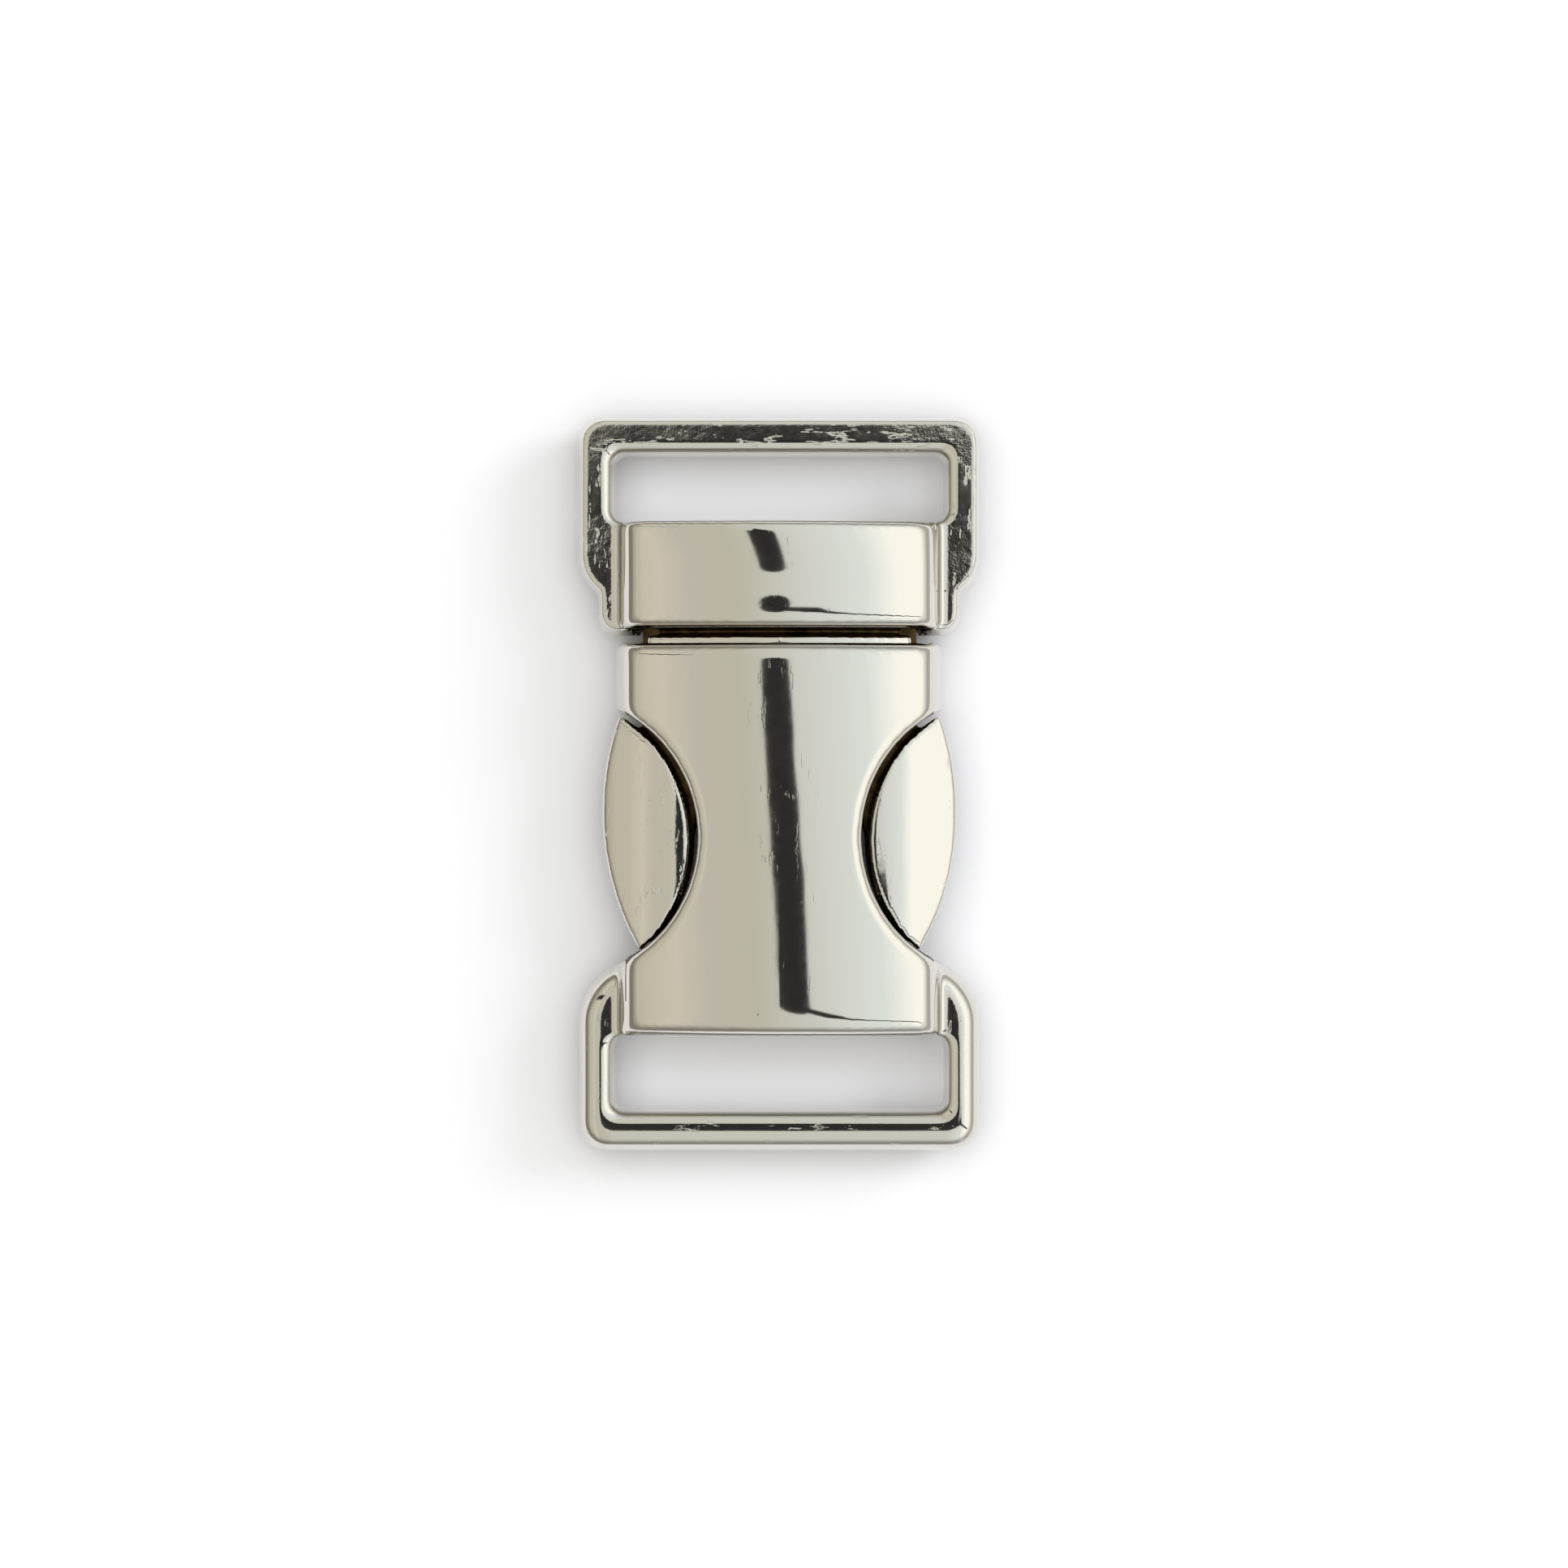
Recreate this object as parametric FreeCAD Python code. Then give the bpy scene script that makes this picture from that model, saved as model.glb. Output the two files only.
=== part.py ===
"""Side-release buckle for 20 mm webbing: a cast socket, and a cast plug that carries two sprung arms.

The buckle lies flat with its back on z = 0. +Y runs along the webbing, from the socket to the plug,
+X across it, and the origin is under the middle of the buckle. All sizes are in millimetres.
"""

import FreeCAD, Part
import math
import os

from FreeCAD import Vector

# Webbing and the frames that it threads through
WEBBING_WIDTH = 20.0
WEBBING_CLEARANCE = 0.5
RAIL_WIDTH = 2.35
RAIL_BOTTOM = 1.2
RAIL_THICKNESS = 3.6
FRAME_DRAFT = 0.3  # how far a frame's faces step in from the parting plane to its top or back
SLOT_CORNER = 0.7
SLOT_RIM = 0.35  # chamfer round a webbing slot

# Lengths along Y, stacked from the socket's end to the plug's end
SOCKET_BAR = 2.7
SOCKET_SLOT = 4.6
SOCKET_LENGTH = 24.5
MOUTH_GAP = 0.5
PLUG_BAND = 7.05
PLUG_SLOT = 4.15
PLUG_BAR = 2.5

# Cross-section of the two cast bodies
BODY_WIDTH = 20.5
BODY_THICKNESS = 8.0
BODY_DRAFT = 0.35
DOME_RADIUS = 32.0
BODY_CORNER = 0.9
BACK_CORNER = 0.6
BODY_END_ROUND = 0.5
BAND_INSET = 0.4  # the plug's raised band starts this far above the plug's lower face
WALL = 1.1

# Frame outlines
PLUG_TOP_CORNER = 1.4
PLUG_SHOULDER_STEP = 1.23  # how far the plug's shoulders stand inside its frame
PLUG_SHOULDER_HEIGHT = 2.6
PLUG_STEP_RISE = 0.95  # how far the step from frame to shoulder slants up
PLUG_FOOT_CORNER = 1.1
SOCKET_FOOT_CORNER = 1.7
SOCKET_FLARE_DROP = 2.5
SOCKET_FLARE_CORNER = 2.0
FRAME_EDGE_ROUND = 0.45
SOCKET_EDGE_ROUND = 0.95

# Finger windows in the socket, one arc each side
WINDOW_RADIUS = 8.8
WINDOW_DEPTH = 5.15  # from the outer side in to the arc's innermost point
WINDOW_FROM_MOUTH = 12.1
WINDOW_EDGE_ROUND = 0.3

# Running clearances
TUNNEL_CLEARANCE = 0.15  # plug neck, tongue and arms inside the socket
ARM_SIDE_CLEARANCE = 0.15  # above and below an arm in the plug
ARM_STOP_GAP = 0.05  # an arm's root rests this close to its stop
SPRING_RADIAL_CLEARANCE = 0.1
SPRING_END_GAP = 0.02
PIN_RUNNING_CLEARANCE = 0.04

# The plug's play in the socket while it is latched
PLAY_IN = 0.1
PLAY_OUT = 0.2
LATCH_GAP = 0.12  # what is left between the latches and the ring with the plug pulled out

# Plug neck and tongue
NECK_SIDE_CLEARANCE = 0.95  # each side, to let the arms' root pass
NECK_FLOOR = 0.7  # the neck's wall under the arms
NECK_LENGTH = 3.9
TONGUE_THICKNESS = 4.2
TONGUE_LENGTH = 21.9  # from the plug's lower face
TONGUE_TIP_CHAMFER = 0.8

# Arms
PIVOT_RISE = 3.5  # pivot above the plug's lower face
ARM_BOSS_RADIUS = 1.75
ARM_THICKNESS = 2.8
ARM_WIDTH = 3.45
ARM_TRAVEL = 2.5  # room for the arm to swing in, between its inner side and the tongue
ARM_TUNNEL_CLEARANCE = 0.6  # from an arm's outer side to the tunnel's side, arm at rest
PIVOT_INSET = 2.35  # pivot inside the arm's outer side
PAD_BULGE = 0.84  # how far a pad stands out of the socket's side
PAD_INNER_GAP = 0.7
PAD_EDGE_ROUND = 0.45
PAD_TIP_INSET = 0.2  # a pad's upper tip inside the socket's widest side
PAD_FOOT_INSET = 1.5
PAD_APEX_RISE = 1.6  # the pad's widest point above the middle of its window

# Pivot pins and coil springs
PIN_RADIUS = 0.6
PIN_RECESS = 0.1
PIN_SEAT = 1.15  # the pin's blind hole, in front of the arm
SPRING_RADIUS = 0.9
SPRING_WIRE = 0.24
SPRING_TURNS = 5.0
SPRING_BELOW_MOUTH = 9.65
TONGUE_POCKET = 0.8
ARM_POCKET = 1.2

# Stations along Y
LENGTH = SOCKET_BAR + SOCKET_SLOT + SOCKET_LENGTH + MOUTH_GAP + PLUG_BAND + PLUG_SLOT + PLUG_BAR
SOCKET_END = -LENGTH / 2
SOCKET_SLOT_LOW = SOCKET_END + SOCKET_BAR
SOCKET_BACK = SOCKET_SLOT_LOW + SOCKET_SLOT
MOUTH = SOCKET_BACK + SOCKET_LENGTH
PLUG_FACE = MOUTH + MOUTH_GAP
PLUG_SLOT_LOW = PLUG_FACE + PLUG_BAND
PLUG_SLOT_HIGH = PLUG_SLOT_LOW + PLUG_SLOT
PLUG_END = PLUG_SLOT_HIGH + PLUG_BAR
WINDOW_Y = MOUTH - WINDOW_FROM_MOUTH
SPRING_Y = MOUTH - SPRING_BELOW_MOUTH
PIVOT_Y = PLUG_FACE + PIVOT_RISE

# Places across X and Z that follow from the sizes above
SLOT_HALF = (WEBBING_WIDTH + WEBBING_CLEARANCE) / 2
FRAME_HALF = SLOT_HALF + RAIL_WIDTH
BODY_HALF = BODY_WIDTH / 2
TUNNEL_HALF = BODY_HALF - WALL
PARTING = RAIL_BOTTOM + RAIL_THICKNESS / 2
RAIL_TOP = RAIL_BOTTOM + RAIL_THICKNESS
ARM_BOTTOM = WALL + TUNNEL_CLEARANCE + NECK_FLOOR + ARM_SIDE_CLEARANCE
ARM_TOP = ARM_BOTTOM + ARM_THICKNESS
ARM_MIDDLE = ARM_BOTTOM + ARM_THICKNESS / 2
ARM_OUTER_X = TUNNEL_HALF - ARM_TUNNEL_CLEARANCE
ARM_INNER_X = ARM_OUTER_X - ARM_WIDTH
TONGUE_HALF_WIDTH = ARM_INNER_X - ARM_TRAVEL
PIVOT_X = ARM_OUTER_X - PIVOT_INSET
PIN_TOP = ARM_TOP + ARM_SIDE_CLEARANCE + PIN_SEAT
NECK_HALF_WIDTH = TUNNEL_HALF - NECK_SIDE_CLEARANCE
PAD_BULGE_X = BODY_HALF + PAD_BULGE
WINDOW_X = BODY_HALF - WINDOW_DEPTH + WINDOW_RADIUS
FAR = 60.0


def place(x, y, z=0.0):
    return Vector(x, y, z)


def both_sides(right_half):
    """A closed outline from its right half, listed upwards: the left half is its mirror image."""
    return right_half + [(-x, y, r) for x, y, r in reversed(right_half)]


def moved_in(corners, inset):
    """The same outline (listed anticlockwise) with each side moved in by inset.

    An outer corner's radius shrinks by the inset, and an inner corner's grows by it.
    """
    count = len(corners)
    result = []
    for i in range(count):
        before, here, after = (Vector(*corners[j % count][:2], 0) for j in (i - 1, i, i + 1))
        one = (here - before).normalize()
        two = (after - here).normalize()
        turn = one.x * two.y - one.y * two.x
        normals = Vector(-one.y, one.x, 0) + Vector(-two.y, two.x, 0)
        corner = here + normals * (inset / (1 + one.dot(two)))
        radius = corners[i][2]
        if radius > 0:
            radius = radius - inset if turn > 0 else radius + inset
        result.append((corner.x, corner.y, radius))
    return result


def outline(corners, z):
    """A closed wire at height z through corners (x, y, radius), with a tangent arc at each radius."""
    count = len(corners)
    ends = []
    for i in range(count):
        before, here, after = (Vector(*corners[j % count][:2], z) for j in (i - 1, i, i + 1))
        one = (before - here).normalize()
        two = (after - here).normalize()
        radius = corners[i][2]
        if radius <= 0:
            ends.append((here, here, None))
            continue
        half_angle = one.getAngle(two) / 2
        reach = radius / math.tan(half_angle)
        bisector = (one + two).normalize()
        middle = here + bisector * (radius / math.sin(half_angle) - radius)
        ends.append((here + one * reach, here + two * reach, middle))
    edges = []
    for i in range(count):
        start, stop, middle = ends[i]
        if middle is not None:
            edges.append(Part.Arc(start, middle, stop).toShape())
        edges.append(Part.LineSegment(stop, ends[(i + 1) % count][0]).toShape())
    return Part.Wire(edges)


def lofted(corners, levels):
    """A closed solid through the outline at each (inset, height) level, with straight walls between."""
    wires = [outline(moved_in(corners, inset), z) for inset, z in levels]
    return Part.makeLoft(wires, True, True)


def prism(corners, low, high):
    """A straight block of the outline from height low to height high."""
    return Part.Face(outline(corners, low)).extrude(place(0, 0, high - low))


def rectangle(x0, x1, y0, y1, radius=0.0):
    return [(x1, y0, radius), (x1, y1, radius), (x0, y1, radius), (x0, y0, radius)]


def rounded(solid, radius, wanted):
    """The solid with every edge that passes the test wanted(edge) rounded to radius."""
    return solid.makeFillet(radius, [e for e in solid.Edges if wanted(e)])


def flat_edge_at(z):
    """A test for edges that lie wholly at height z."""
    return lambda edge: edge.BoundBox.ZLength < 1e-4 and abs(edge.BoundBox.ZMin - z) < 1e-4


def drop_of_dome(x, radius):
    """How far a dome of that radius has dropped, at x, below its crest."""
    return radius - math.sqrt(radius**2 - x**2)


def domed_bar(half_width, floor, crest, radius, y0, y1, draft=0.0, corner=0.0, foot=0.0):
    """A bar along Y with a flat back at floor, drafted sides and a domed top with its crest at x = 0."""
    shoulder_x = half_width - draft
    shoulder_z = crest - drop_of_dome(shoulder_x, radius)
    widest_z = floor + (shoulder_z - floor) / 2
    back, front = place(shoulder_x, 0, floor), place(shoulder_x, 0, shoulder_z)
    side = place(half_width, 0, widest_z)
    mirror = [place(-v.x, 0, v.z) for v in (back, side, front)]
    edges = [
        Part.LineSegment(mirror[0], back).toShape(),
        Part.LineSegment(back, side).toShape(),
        Part.LineSegment(side, front).toShape(),
        Part.Arc(front, place(0, 0, crest), mirror[2]).toShape(),
        Part.LineSegment(mirror[2], mirror[1]).toShape(),
        Part.LineSegment(mirror[1], mirror[0]).toShape(),
    ]
    bar = Part.Face(Part.Wire(edges)).extrude(place(0, y1 - y0, 0))
    bar.translate(place(0, y0, 0))
    for size, z in ((corner, shoulder_z), (foot, floor)):
        if size > 0:
            bar = rounded(bar, size, lambda e: lies_along_y(e) and flat_edge_at(z)(e))
    return bar


def lies_along_y(edge):
    return edge.BoundBox.XLength < 1e-4 and edge.BoundBox.ZLength < 1e-4


def body_bar(y0, y1):
    """The cross-section that the socket and the plug's band share, from y0 to y1, its ends rounded."""
    bar = domed_bar(
        BODY_HALF, 0, BODY_THICKNESS, DOME_RADIUS, y0, y1, BODY_DRAFT, BODY_CORNER, BACK_CORNER
    )

    def on_an_end(edge):
        box = edge.BoundBox
        return box.YLength < 1e-4 and min(abs(box.YMin - y0), abs(box.YMin - y1)) < 1e-4

    return rounded(bar, BODY_END_ROUND, on_an_end)


def tunnel_bar(half_width, clearance, y0, y1):
    """The socket's inner cross-section, made smaller all round by a clearance."""
    return domed_bar(
        half_width,
        WALL + clearance,
        BODY_THICKNESS - WALL - clearance,
        DOME_RADIUS - WALL - clearance,
        y0,
        y1,
    )


def webbing_slot(y0, y1):
    """The cut for one webbing slot: narrowest at the parting plane, with a chamfered rim."""
    corners = rectangle(-SLOT_HALF, SLOT_HALF, y0, y1, SLOT_CORNER)
    reach = SLOT_RIM + 0.2
    rim_draft = FRAME_DRAFT * (1 - SLOT_RIM / (RAIL_THICKNESS / 2))
    levels = [
        (-rim_draft - reach, RAIL_BOTTOM - 0.2),
        (-rim_draft, RAIL_BOTTOM + SLOT_RIM),
        (0, PARTING),
        (-rim_draft, RAIL_TOP - SLOT_RIM),
        (-rim_draft - reach, RAIL_TOP + 0.2),
    ]
    cut = lofted(corners, levels)
    clear = rectangle(-SLOT_HALF + SLOT_CORNER, SLOT_HALF - SLOT_CORNER, y0, y1)
    return cut.fuse(prism(clear, -1, BODY_THICKNESS + 1))


def frame_plate(corners, edge_round):
    """A frame's plate at rail height, drafted both ways from the parting plane, its rims rounded."""
    levels = [(FRAME_DRAFT, RAIL_BOTTOM), (0, PARTING), (FRAME_DRAFT, RAIL_TOP)]
    plate = lofted(corners, levels)
    plate = rounded(plate, edge_round, flat_edge_at(RAIL_TOP))
    return rounded(plate, edge_round, flat_edge_at(RAIL_BOTTOM))


def window_cutter():
    """The two upright cylinders that open the socket's sides."""
    cuts = []
    for side in (-1, 1):
        cuts.append(Part.makeCylinder(WINDOW_RADIUS, FAR, place(side * WINDOW_X, WINDOW_Y, -FAR / 2)))
    return cuts[0].fuse(cuts[1])


def arm_foot():
    """The lower tip of the right pad: on the arc of its window, before the tip is rounded."""
    x = BODY_HALF - PAD_FOOT_INSET
    return place(x, window_low(x))


def window_low(x):
    """The lower end of the window's arc at x."""
    return WINDOW_Y - math.sqrt(WINDOW_RADIUS**2 - (WINDOW_X - x) ** 2)


def window_high(x):
    """The upper end of the window's arc at x."""
    return WINDOW_Y + math.sqrt(WINDOW_RADIUS**2 - (WINDOW_X - x) ** 2)


def tunnel_end():
    """The end of the socket's tunnel: clear of the arms' feet at the lowest point of their swing."""
    foot = arm_foot()
    swing = math.hypot(foot.x - PIVOT_X, foot.y - PIVOT_Y)
    return PIVOT_Y - swing - PLAY_IN - TUNNEL_CLEARANCE


def tongue_tip():
    return PLUG_FACE - TONGUE_LENGTH


def is_window_edge(edge):
    """Whether an edge lies on one of the windows' arcs."""
    ends = [vertex.Point for vertex in edge.Vertexes] + [edge.valueAt(edge.FirstParameter)]
    return all(abs(math.hypot(abs(p.x) - WINDOW_X, p.y - WINDOW_Y) - WINDOW_RADIUS) < 1e-3 for p in ends)


def socket_body():
    """The socket: a domed hollow body with a window each side, and the frame for its webbing."""
    body = body_bar(SOCKET_BACK, MOUTH).cut(window_cutter())
    body = rounded(body, WINDOW_EDGE_ROUND, is_window_edge)
    flare_x = TUNNEL_HALF - 0.7
    flare_start = (flare_x, window_low(flare_x), 0)
    flare_end = (FRAME_HALF, window_low(flare_x) - SOCKET_FLARE_DROP, SOCKET_FLARE_CORNER)
    foot = (FRAME_HALF, SOCKET_END, SOCKET_FOOT_CORNER)
    plate = frame_plate(both_sides([foot, flare_end, flare_start]), SOCKET_EDGE_ROUND)
    tunnel = tunnel_bar(TUNNEL_HALF, 0, tunnel_end(), MOUTH + 1)
    tip_room = prism(
        rectangle(
            -TONGUE_HALF_WIDTH - TUNNEL_CLEARANCE,
            TONGUE_HALF_WIDTH + TUNNEL_CLEARANCE,
            tongue_tip() - PLAY_IN - TUNNEL_CLEARANCE,
            tunnel_end() + 1,
        ),
        WALL,
        ARM_MIDDLE + TONGUE_THICKNESS / 2 + TUNNEL_CLEARANCE,
    )
    slot = webbing_slot(SOCKET_SLOT_LOW, SOCKET_BACK)
    return body.fuse(plate).cut(tunnel.fuse(tip_room)).cut(slot).removeSplitter()


def plug_outline():
    """The plug's frame and shoulders, seen from the front."""
    step_y = PLUG_FACE + PLUG_SHOULDER_HEIGHT
    shoulder = FRAME_HALF - PLUG_SHOULDER_STEP
    return both_sides(
        [
            (shoulder - 0.15, PLUG_FACE, PLUG_FOOT_CORNER),
            (shoulder, step_y, PLUG_SHOULDER_STEP / 4),
            (FRAME_HALF, step_y + PLUG_STEP_RISE, PLUG_SHOULDER_STEP),
            (FRAME_HALF, PLUG_END, PLUG_TOP_CORNER),
        ]
    )


def plug_frame():
    """The plug: webbing frame, domed band, and the neck and tongue that enter the socket."""
    plate = frame_plate(plug_outline(), FRAME_EDGE_ROUND)
    band = body_bar(PLUG_FACE + BAND_INSET, PLUG_SLOT_LOW)
    neck = tunnel_bar(NECK_HALF_WIDTH, TUNNEL_CLEARANCE, PLUG_FACE - NECK_LENGTH, PLUG_FACE + BAND_INSET + 1)
    solid = plate.fuse(band).fuse(neck).fuse(tongue())
    for side in (-1, 1):
        solid = solid.cut(arm_pocket(side)).cut(pin_solid(side, 0)).cut(spring_pocket(side))
    return solid.cut(webbing_slot(PLUG_SLOT_LOW, PLUG_SLOT_HIGH)).removeSplitter()


def tongue():
    """The flat tongue that guides the plug, with a chamfered tip."""
    low = ARM_MIDDLE - TONGUE_THICKNESS / 2
    corners = rectangle(-TONGUE_HALF_WIDTH, TONGUE_HALF_WIDTH, tongue_tip(), PLUG_FACE + 1)
    bar = prism(corners, low, low + TONGUE_THICKNESS)
    at_tip = [
        e
        for e in bar.Edges
        if e.BoundBox.YLength < 1e-4 and abs(e.BoundBox.YMin - tongue_tip()) < 1e-4
    ]
    return bar.makeChamfer(TONGUE_TIP_CHAMFER, at_tip)


def arm_pocket(side):
    """The room in the plug for one arm's root, open towards the socket and to the side of the neck."""
    stop_x = ARM_OUTER_X + ARM_STOP_GAP
    inner_x = TONGUE_HALF_WIDTH
    low = ARM_BOTTOM - ARM_SIDE_CLEARANCE
    high = ARM_TOP + ARM_SIDE_CLEARANCE
    x0, x1 = sorted((side * inner_x, side * stop_x))
    room = prism(rectangle(x0, x1, PLUG_FACE - NECK_LENGTH - 1, PIVOT_Y), low, high)
    boss_room = Part.makeCylinder(
        ARM_BOSS_RADIUS + ARM_SIDE_CLEARANCE, high - low, place(side * PIVOT_X, PIVOT_Y, low)
    )
    return room.fuse(boss_room)


def pin_solid(side, recess):
    """One pivot pin's cylinder, from its recess in the plug's back to its blind end."""
    return Part.makeCylinder(PIN_RADIUS, PIN_TOP - recess, place(side * PIVOT_X, PIVOT_Y, recess))


def spring_pocket(side):
    """The blind hole in the tongue's side that holds one spring's inner end."""
    start = place(side * (TONGUE_HALF_WIDTH - TONGUE_POCKET), SPRING_Y, ARM_MIDDLE)
    radius = SPRING_RADIUS + SPRING_RADIAL_CLEARANCE
    return Part.makeCylinder(radius, TONGUE_POCKET + 0.5, start, place(side, 0, 0))


def arc_to_apex(end, apex):
    """An arc from end to apex that runs along Y at apex."""
    across, along = apex.x - end.x, end.y - apex.y
    radius = (across**2 + along**2) / (2 * across)
    half = math.asin(along / radius) / 2
    middle = place(apex.x - radius * (1 - math.cos(half)), apex.y + radius * math.sin(half), apex.z)
    return Part.Arc(end, middle, apex).toShape()


def pad():
    """The right arm's finger pad: a lens seen from the front, domed like the tunnel that it enters."""
    tip_x = BODY_HALF - PAD_TIP_INSET
    tip = place(tip_x, window_high(tip_x) - PLAY_OUT - LATCH_GAP)
    foot = arm_foot()
    apex = place(PAD_BULGE_X, WINDOW_Y + PAD_APEX_RISE)
    inner = place(WINDOW_X - WINDOW_RADIUS + PAD_INNER_GAP, WINDOW_Y)
    wire = Part.Wire(
        [arc_to_apex(tip, apex), arc_to_apex(foot, apex), Part.Arc(foot, inner, tip).toShape()]
    )
    block = Part.Face(wire).extrude(place(0, 0, BODY_THICKNESS))
    domed = block.common(tunnel_bar(PAD_BULGE_X + 1, TUNNEL_CLEARANCE, foot.y - 1, MOUTH))
    return domed.makeFillet(PAD_EDGE_ROUND, domed.Edges)


def lever():
    """The right arm's lever, from the pivot's boss to the pad."""
    foot = arm_foot()
    corners = [
        (PIVOT_X - ARM_BOSS_RADIUS * 0.85, PIVOT_Y, 0),
        (ARM_INNER_X + 0.1, PLUG_FACE - NECK_LENGTH, 1.0),
        (ARM_INNER_X, SPRING_Y + 1.5, 0),
        (ARM_INNER_X, SPRING_Y - 1.5, 1.0),
        (ARM_INNER_X + 0.7, SPRING_Y - 4.5, 2.0),
        (foot.x - 0.45, foot.y + 0.7, 0.3),
        (foot.x + 0.2, foot.y + 3.5, 0),
        (ARM_OUTER_X, window_high(TUNNEL_HALF) - 1, 0),
        (ARM_OUTER_X, PIVOT_Y, 0),
    ]
    bar = prism(corners, ARM_BOTTOM, ARM_TOP)
    boss = Part.makeCylinder(ARM_BOSS_RADIUS, ARM_THICKNESS, place(PIVOT_X, PIVOT_Y, ARM_BOTTOM))
    corner_cut = prism(rectangle(PIVOT_X, FAR, PIVOT_Y - 0.6, FAR), -1, FAR)
    return bar.cut(corner_cut).fuse(boss)


def right_arm():
    """The right arm: lever and pad in one casting, with its pivot bore and spring seat."""
    bore = Part.makeCylinder(
        PIN_RADIUS + PIN_RUNNING_CLEARANCE, FAR, place(PIVOT_X, PIVOT_Y, -FAR / 2)
    )
    seat = Part.makeCylinder(
        SPRING_RADIUS + SPRING_RADIAL_CLEARANCE,
        ARM_POCKET + 0.5,
        place(ARM_INNER_X - 0.5, SPRING_Y, ARM_MIDDLE),
        place(1, 0, 0),
    )
    return lever().fuse(pad()).cut(bore).cut(seat).removeSplitter()


def right_spring():
    """The right arm's coil spring, its ends ground flat, between the tongue's seat and the arm's."""
    low_x = TONGUE_HALF_WIDTH - TONGUE_POCKET
    length = ARM_INNER_X + ARM_POCKET - SPRING_END_GAP - low_x
    mean = SPRING_RADIUS - SPRING_WIRE / 2
    pitch = (length + SPRING_WIRE) / SPRING_TURNS
    helix = Part.makeHelix(pitch, pitch * SPRING_TURNS, mean)
    ring = Part.Wire(Part.makeCircle(SPRING_WIRE / 2, place(mean, 0, 0), place(0, 1, 0)))
    coil = Part.Wire(helix).makePipeShell([ring], True, True)
    coil.translate(place(0, 0, -SPRING_WIRE / 2))
    ground = coil.common(Part.makeCylinder(SPRING_RADIUS + 1, length))
    ground.rotate(place(0, 0, 0), place(0, 1, 0), 90)
    ground.translate(place(low_x, SPRING_Y, ARM_MIDDLE))
    return ground


def left(shape):
    """The mirror image of a right-hand piece."""
    return shape.mirror(place(0, 0, 0), place(1, 0, 0))


def main():
    os.makedirs("parts", exist_ok=True)
    arm, spring = right_arm(), right_spring()
    pieces = {
        "socket_body": socket_body(),
        "plug_frame": plug_frame(),
        "right_arm": arm,
        "left_arm": left(arm),
        "right_pivot_pin": pin_solid(1, PIN_RECESS),
        "left_pivot_pin": pin_solid(-1, PIN_RECESS),
        "right_spring": spring,
        "left_spring": left(spring),
    }
    for name, shape in pieces.items():
        print(f"{name}: {len(shape.Solids)} solid, {shape.Volume:.2f} mm3, valid {shape.isValid()}")
        shape.exportStep(f"parts/{name}.step")


main()
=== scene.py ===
"""Looks of a side-release buckle for 20 mm webbing: tumbled zinc castings with bright nickel plate.

Each casting is modelled in millimetres, in the same frame as the part, and brought to metres when it is done.
"""

import logging
import math
from dataclasses import dataclass, replace
from enum import Enum
from typing import Callable, Iterable

import bmesh
import bpy
from bpy.types import Material, Node, NodeSocket, NodeTree, Object
from mathutils import Euler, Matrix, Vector


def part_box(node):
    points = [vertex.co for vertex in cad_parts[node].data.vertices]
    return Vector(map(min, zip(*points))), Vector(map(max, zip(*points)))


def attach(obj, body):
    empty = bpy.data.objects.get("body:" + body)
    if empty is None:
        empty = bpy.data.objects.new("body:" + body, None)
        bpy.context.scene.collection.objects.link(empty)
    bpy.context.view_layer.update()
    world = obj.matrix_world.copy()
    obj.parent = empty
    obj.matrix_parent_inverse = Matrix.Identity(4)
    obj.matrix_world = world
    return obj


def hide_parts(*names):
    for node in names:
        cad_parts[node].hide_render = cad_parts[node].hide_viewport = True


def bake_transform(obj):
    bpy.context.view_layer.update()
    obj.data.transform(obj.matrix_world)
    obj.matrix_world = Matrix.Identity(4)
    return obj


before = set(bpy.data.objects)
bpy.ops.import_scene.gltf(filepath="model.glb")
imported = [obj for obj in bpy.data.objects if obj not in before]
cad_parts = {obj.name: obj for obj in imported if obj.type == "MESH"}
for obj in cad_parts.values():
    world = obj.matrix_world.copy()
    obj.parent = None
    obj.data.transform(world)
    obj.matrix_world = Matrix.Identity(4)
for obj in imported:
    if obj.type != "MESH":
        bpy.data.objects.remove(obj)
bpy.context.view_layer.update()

logging.basicConfig(level=logging.INFO, format="%(message)s")
LOG = logging.getLogger("buckle")

MM = 0.001
Point = tuple[float, float, float]
Test = Callable[[Iterable[Vector]], bool]
Measure = Callable[[Vector], float]

# Sizes that several pieces share, in millimetres
WALL = 1.1
CLEARANCE = 0.15
CREST = 8.0
DOME_RADIUS = 32.0
BODY_HALF = 10.25
FRAME_HALF = 12.6
SLOT_CORNER = 0.7
MOUTH = 8.8
PLUG_FACE = 9.3
SOCKET_END = -23.0
PLUG_END = 23.0
ARM_LOW, ARM_HIGH = 2.1, 4.9
ARM_MIDDLE = (ARM_LOW + ARM_HIGH) / 2
PIVOT_X, PIVOT_Y = 6.2, 12.8
SPRING_Y = -0.85
SPRING_ROOM = 1.0  # radius of the spring's pocket and seat
SAME = 1e-3  # how close two levels count as the same one


class Join(Enum):
    """How one workpiece acts on another."""

    ADD = "UNION"
    CUT = "DIFFERENCE"
    KEEP_COMMON = "INTERSECT"


class Along(Enum):
    """The axis that a rod lies along, as the turn that takes Z to it."""

    X = (0.0, math.pi / 2, 0.0)
    Y = (-math.pi / 2, 0.0, 0.0)
    Z = (0.0, 0.0, 0.0)


def deselect_all() -> None:
    """Leaves object mode's selection empty."""
    bpy.ops.object.select_all(action="DESELECT")


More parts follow.
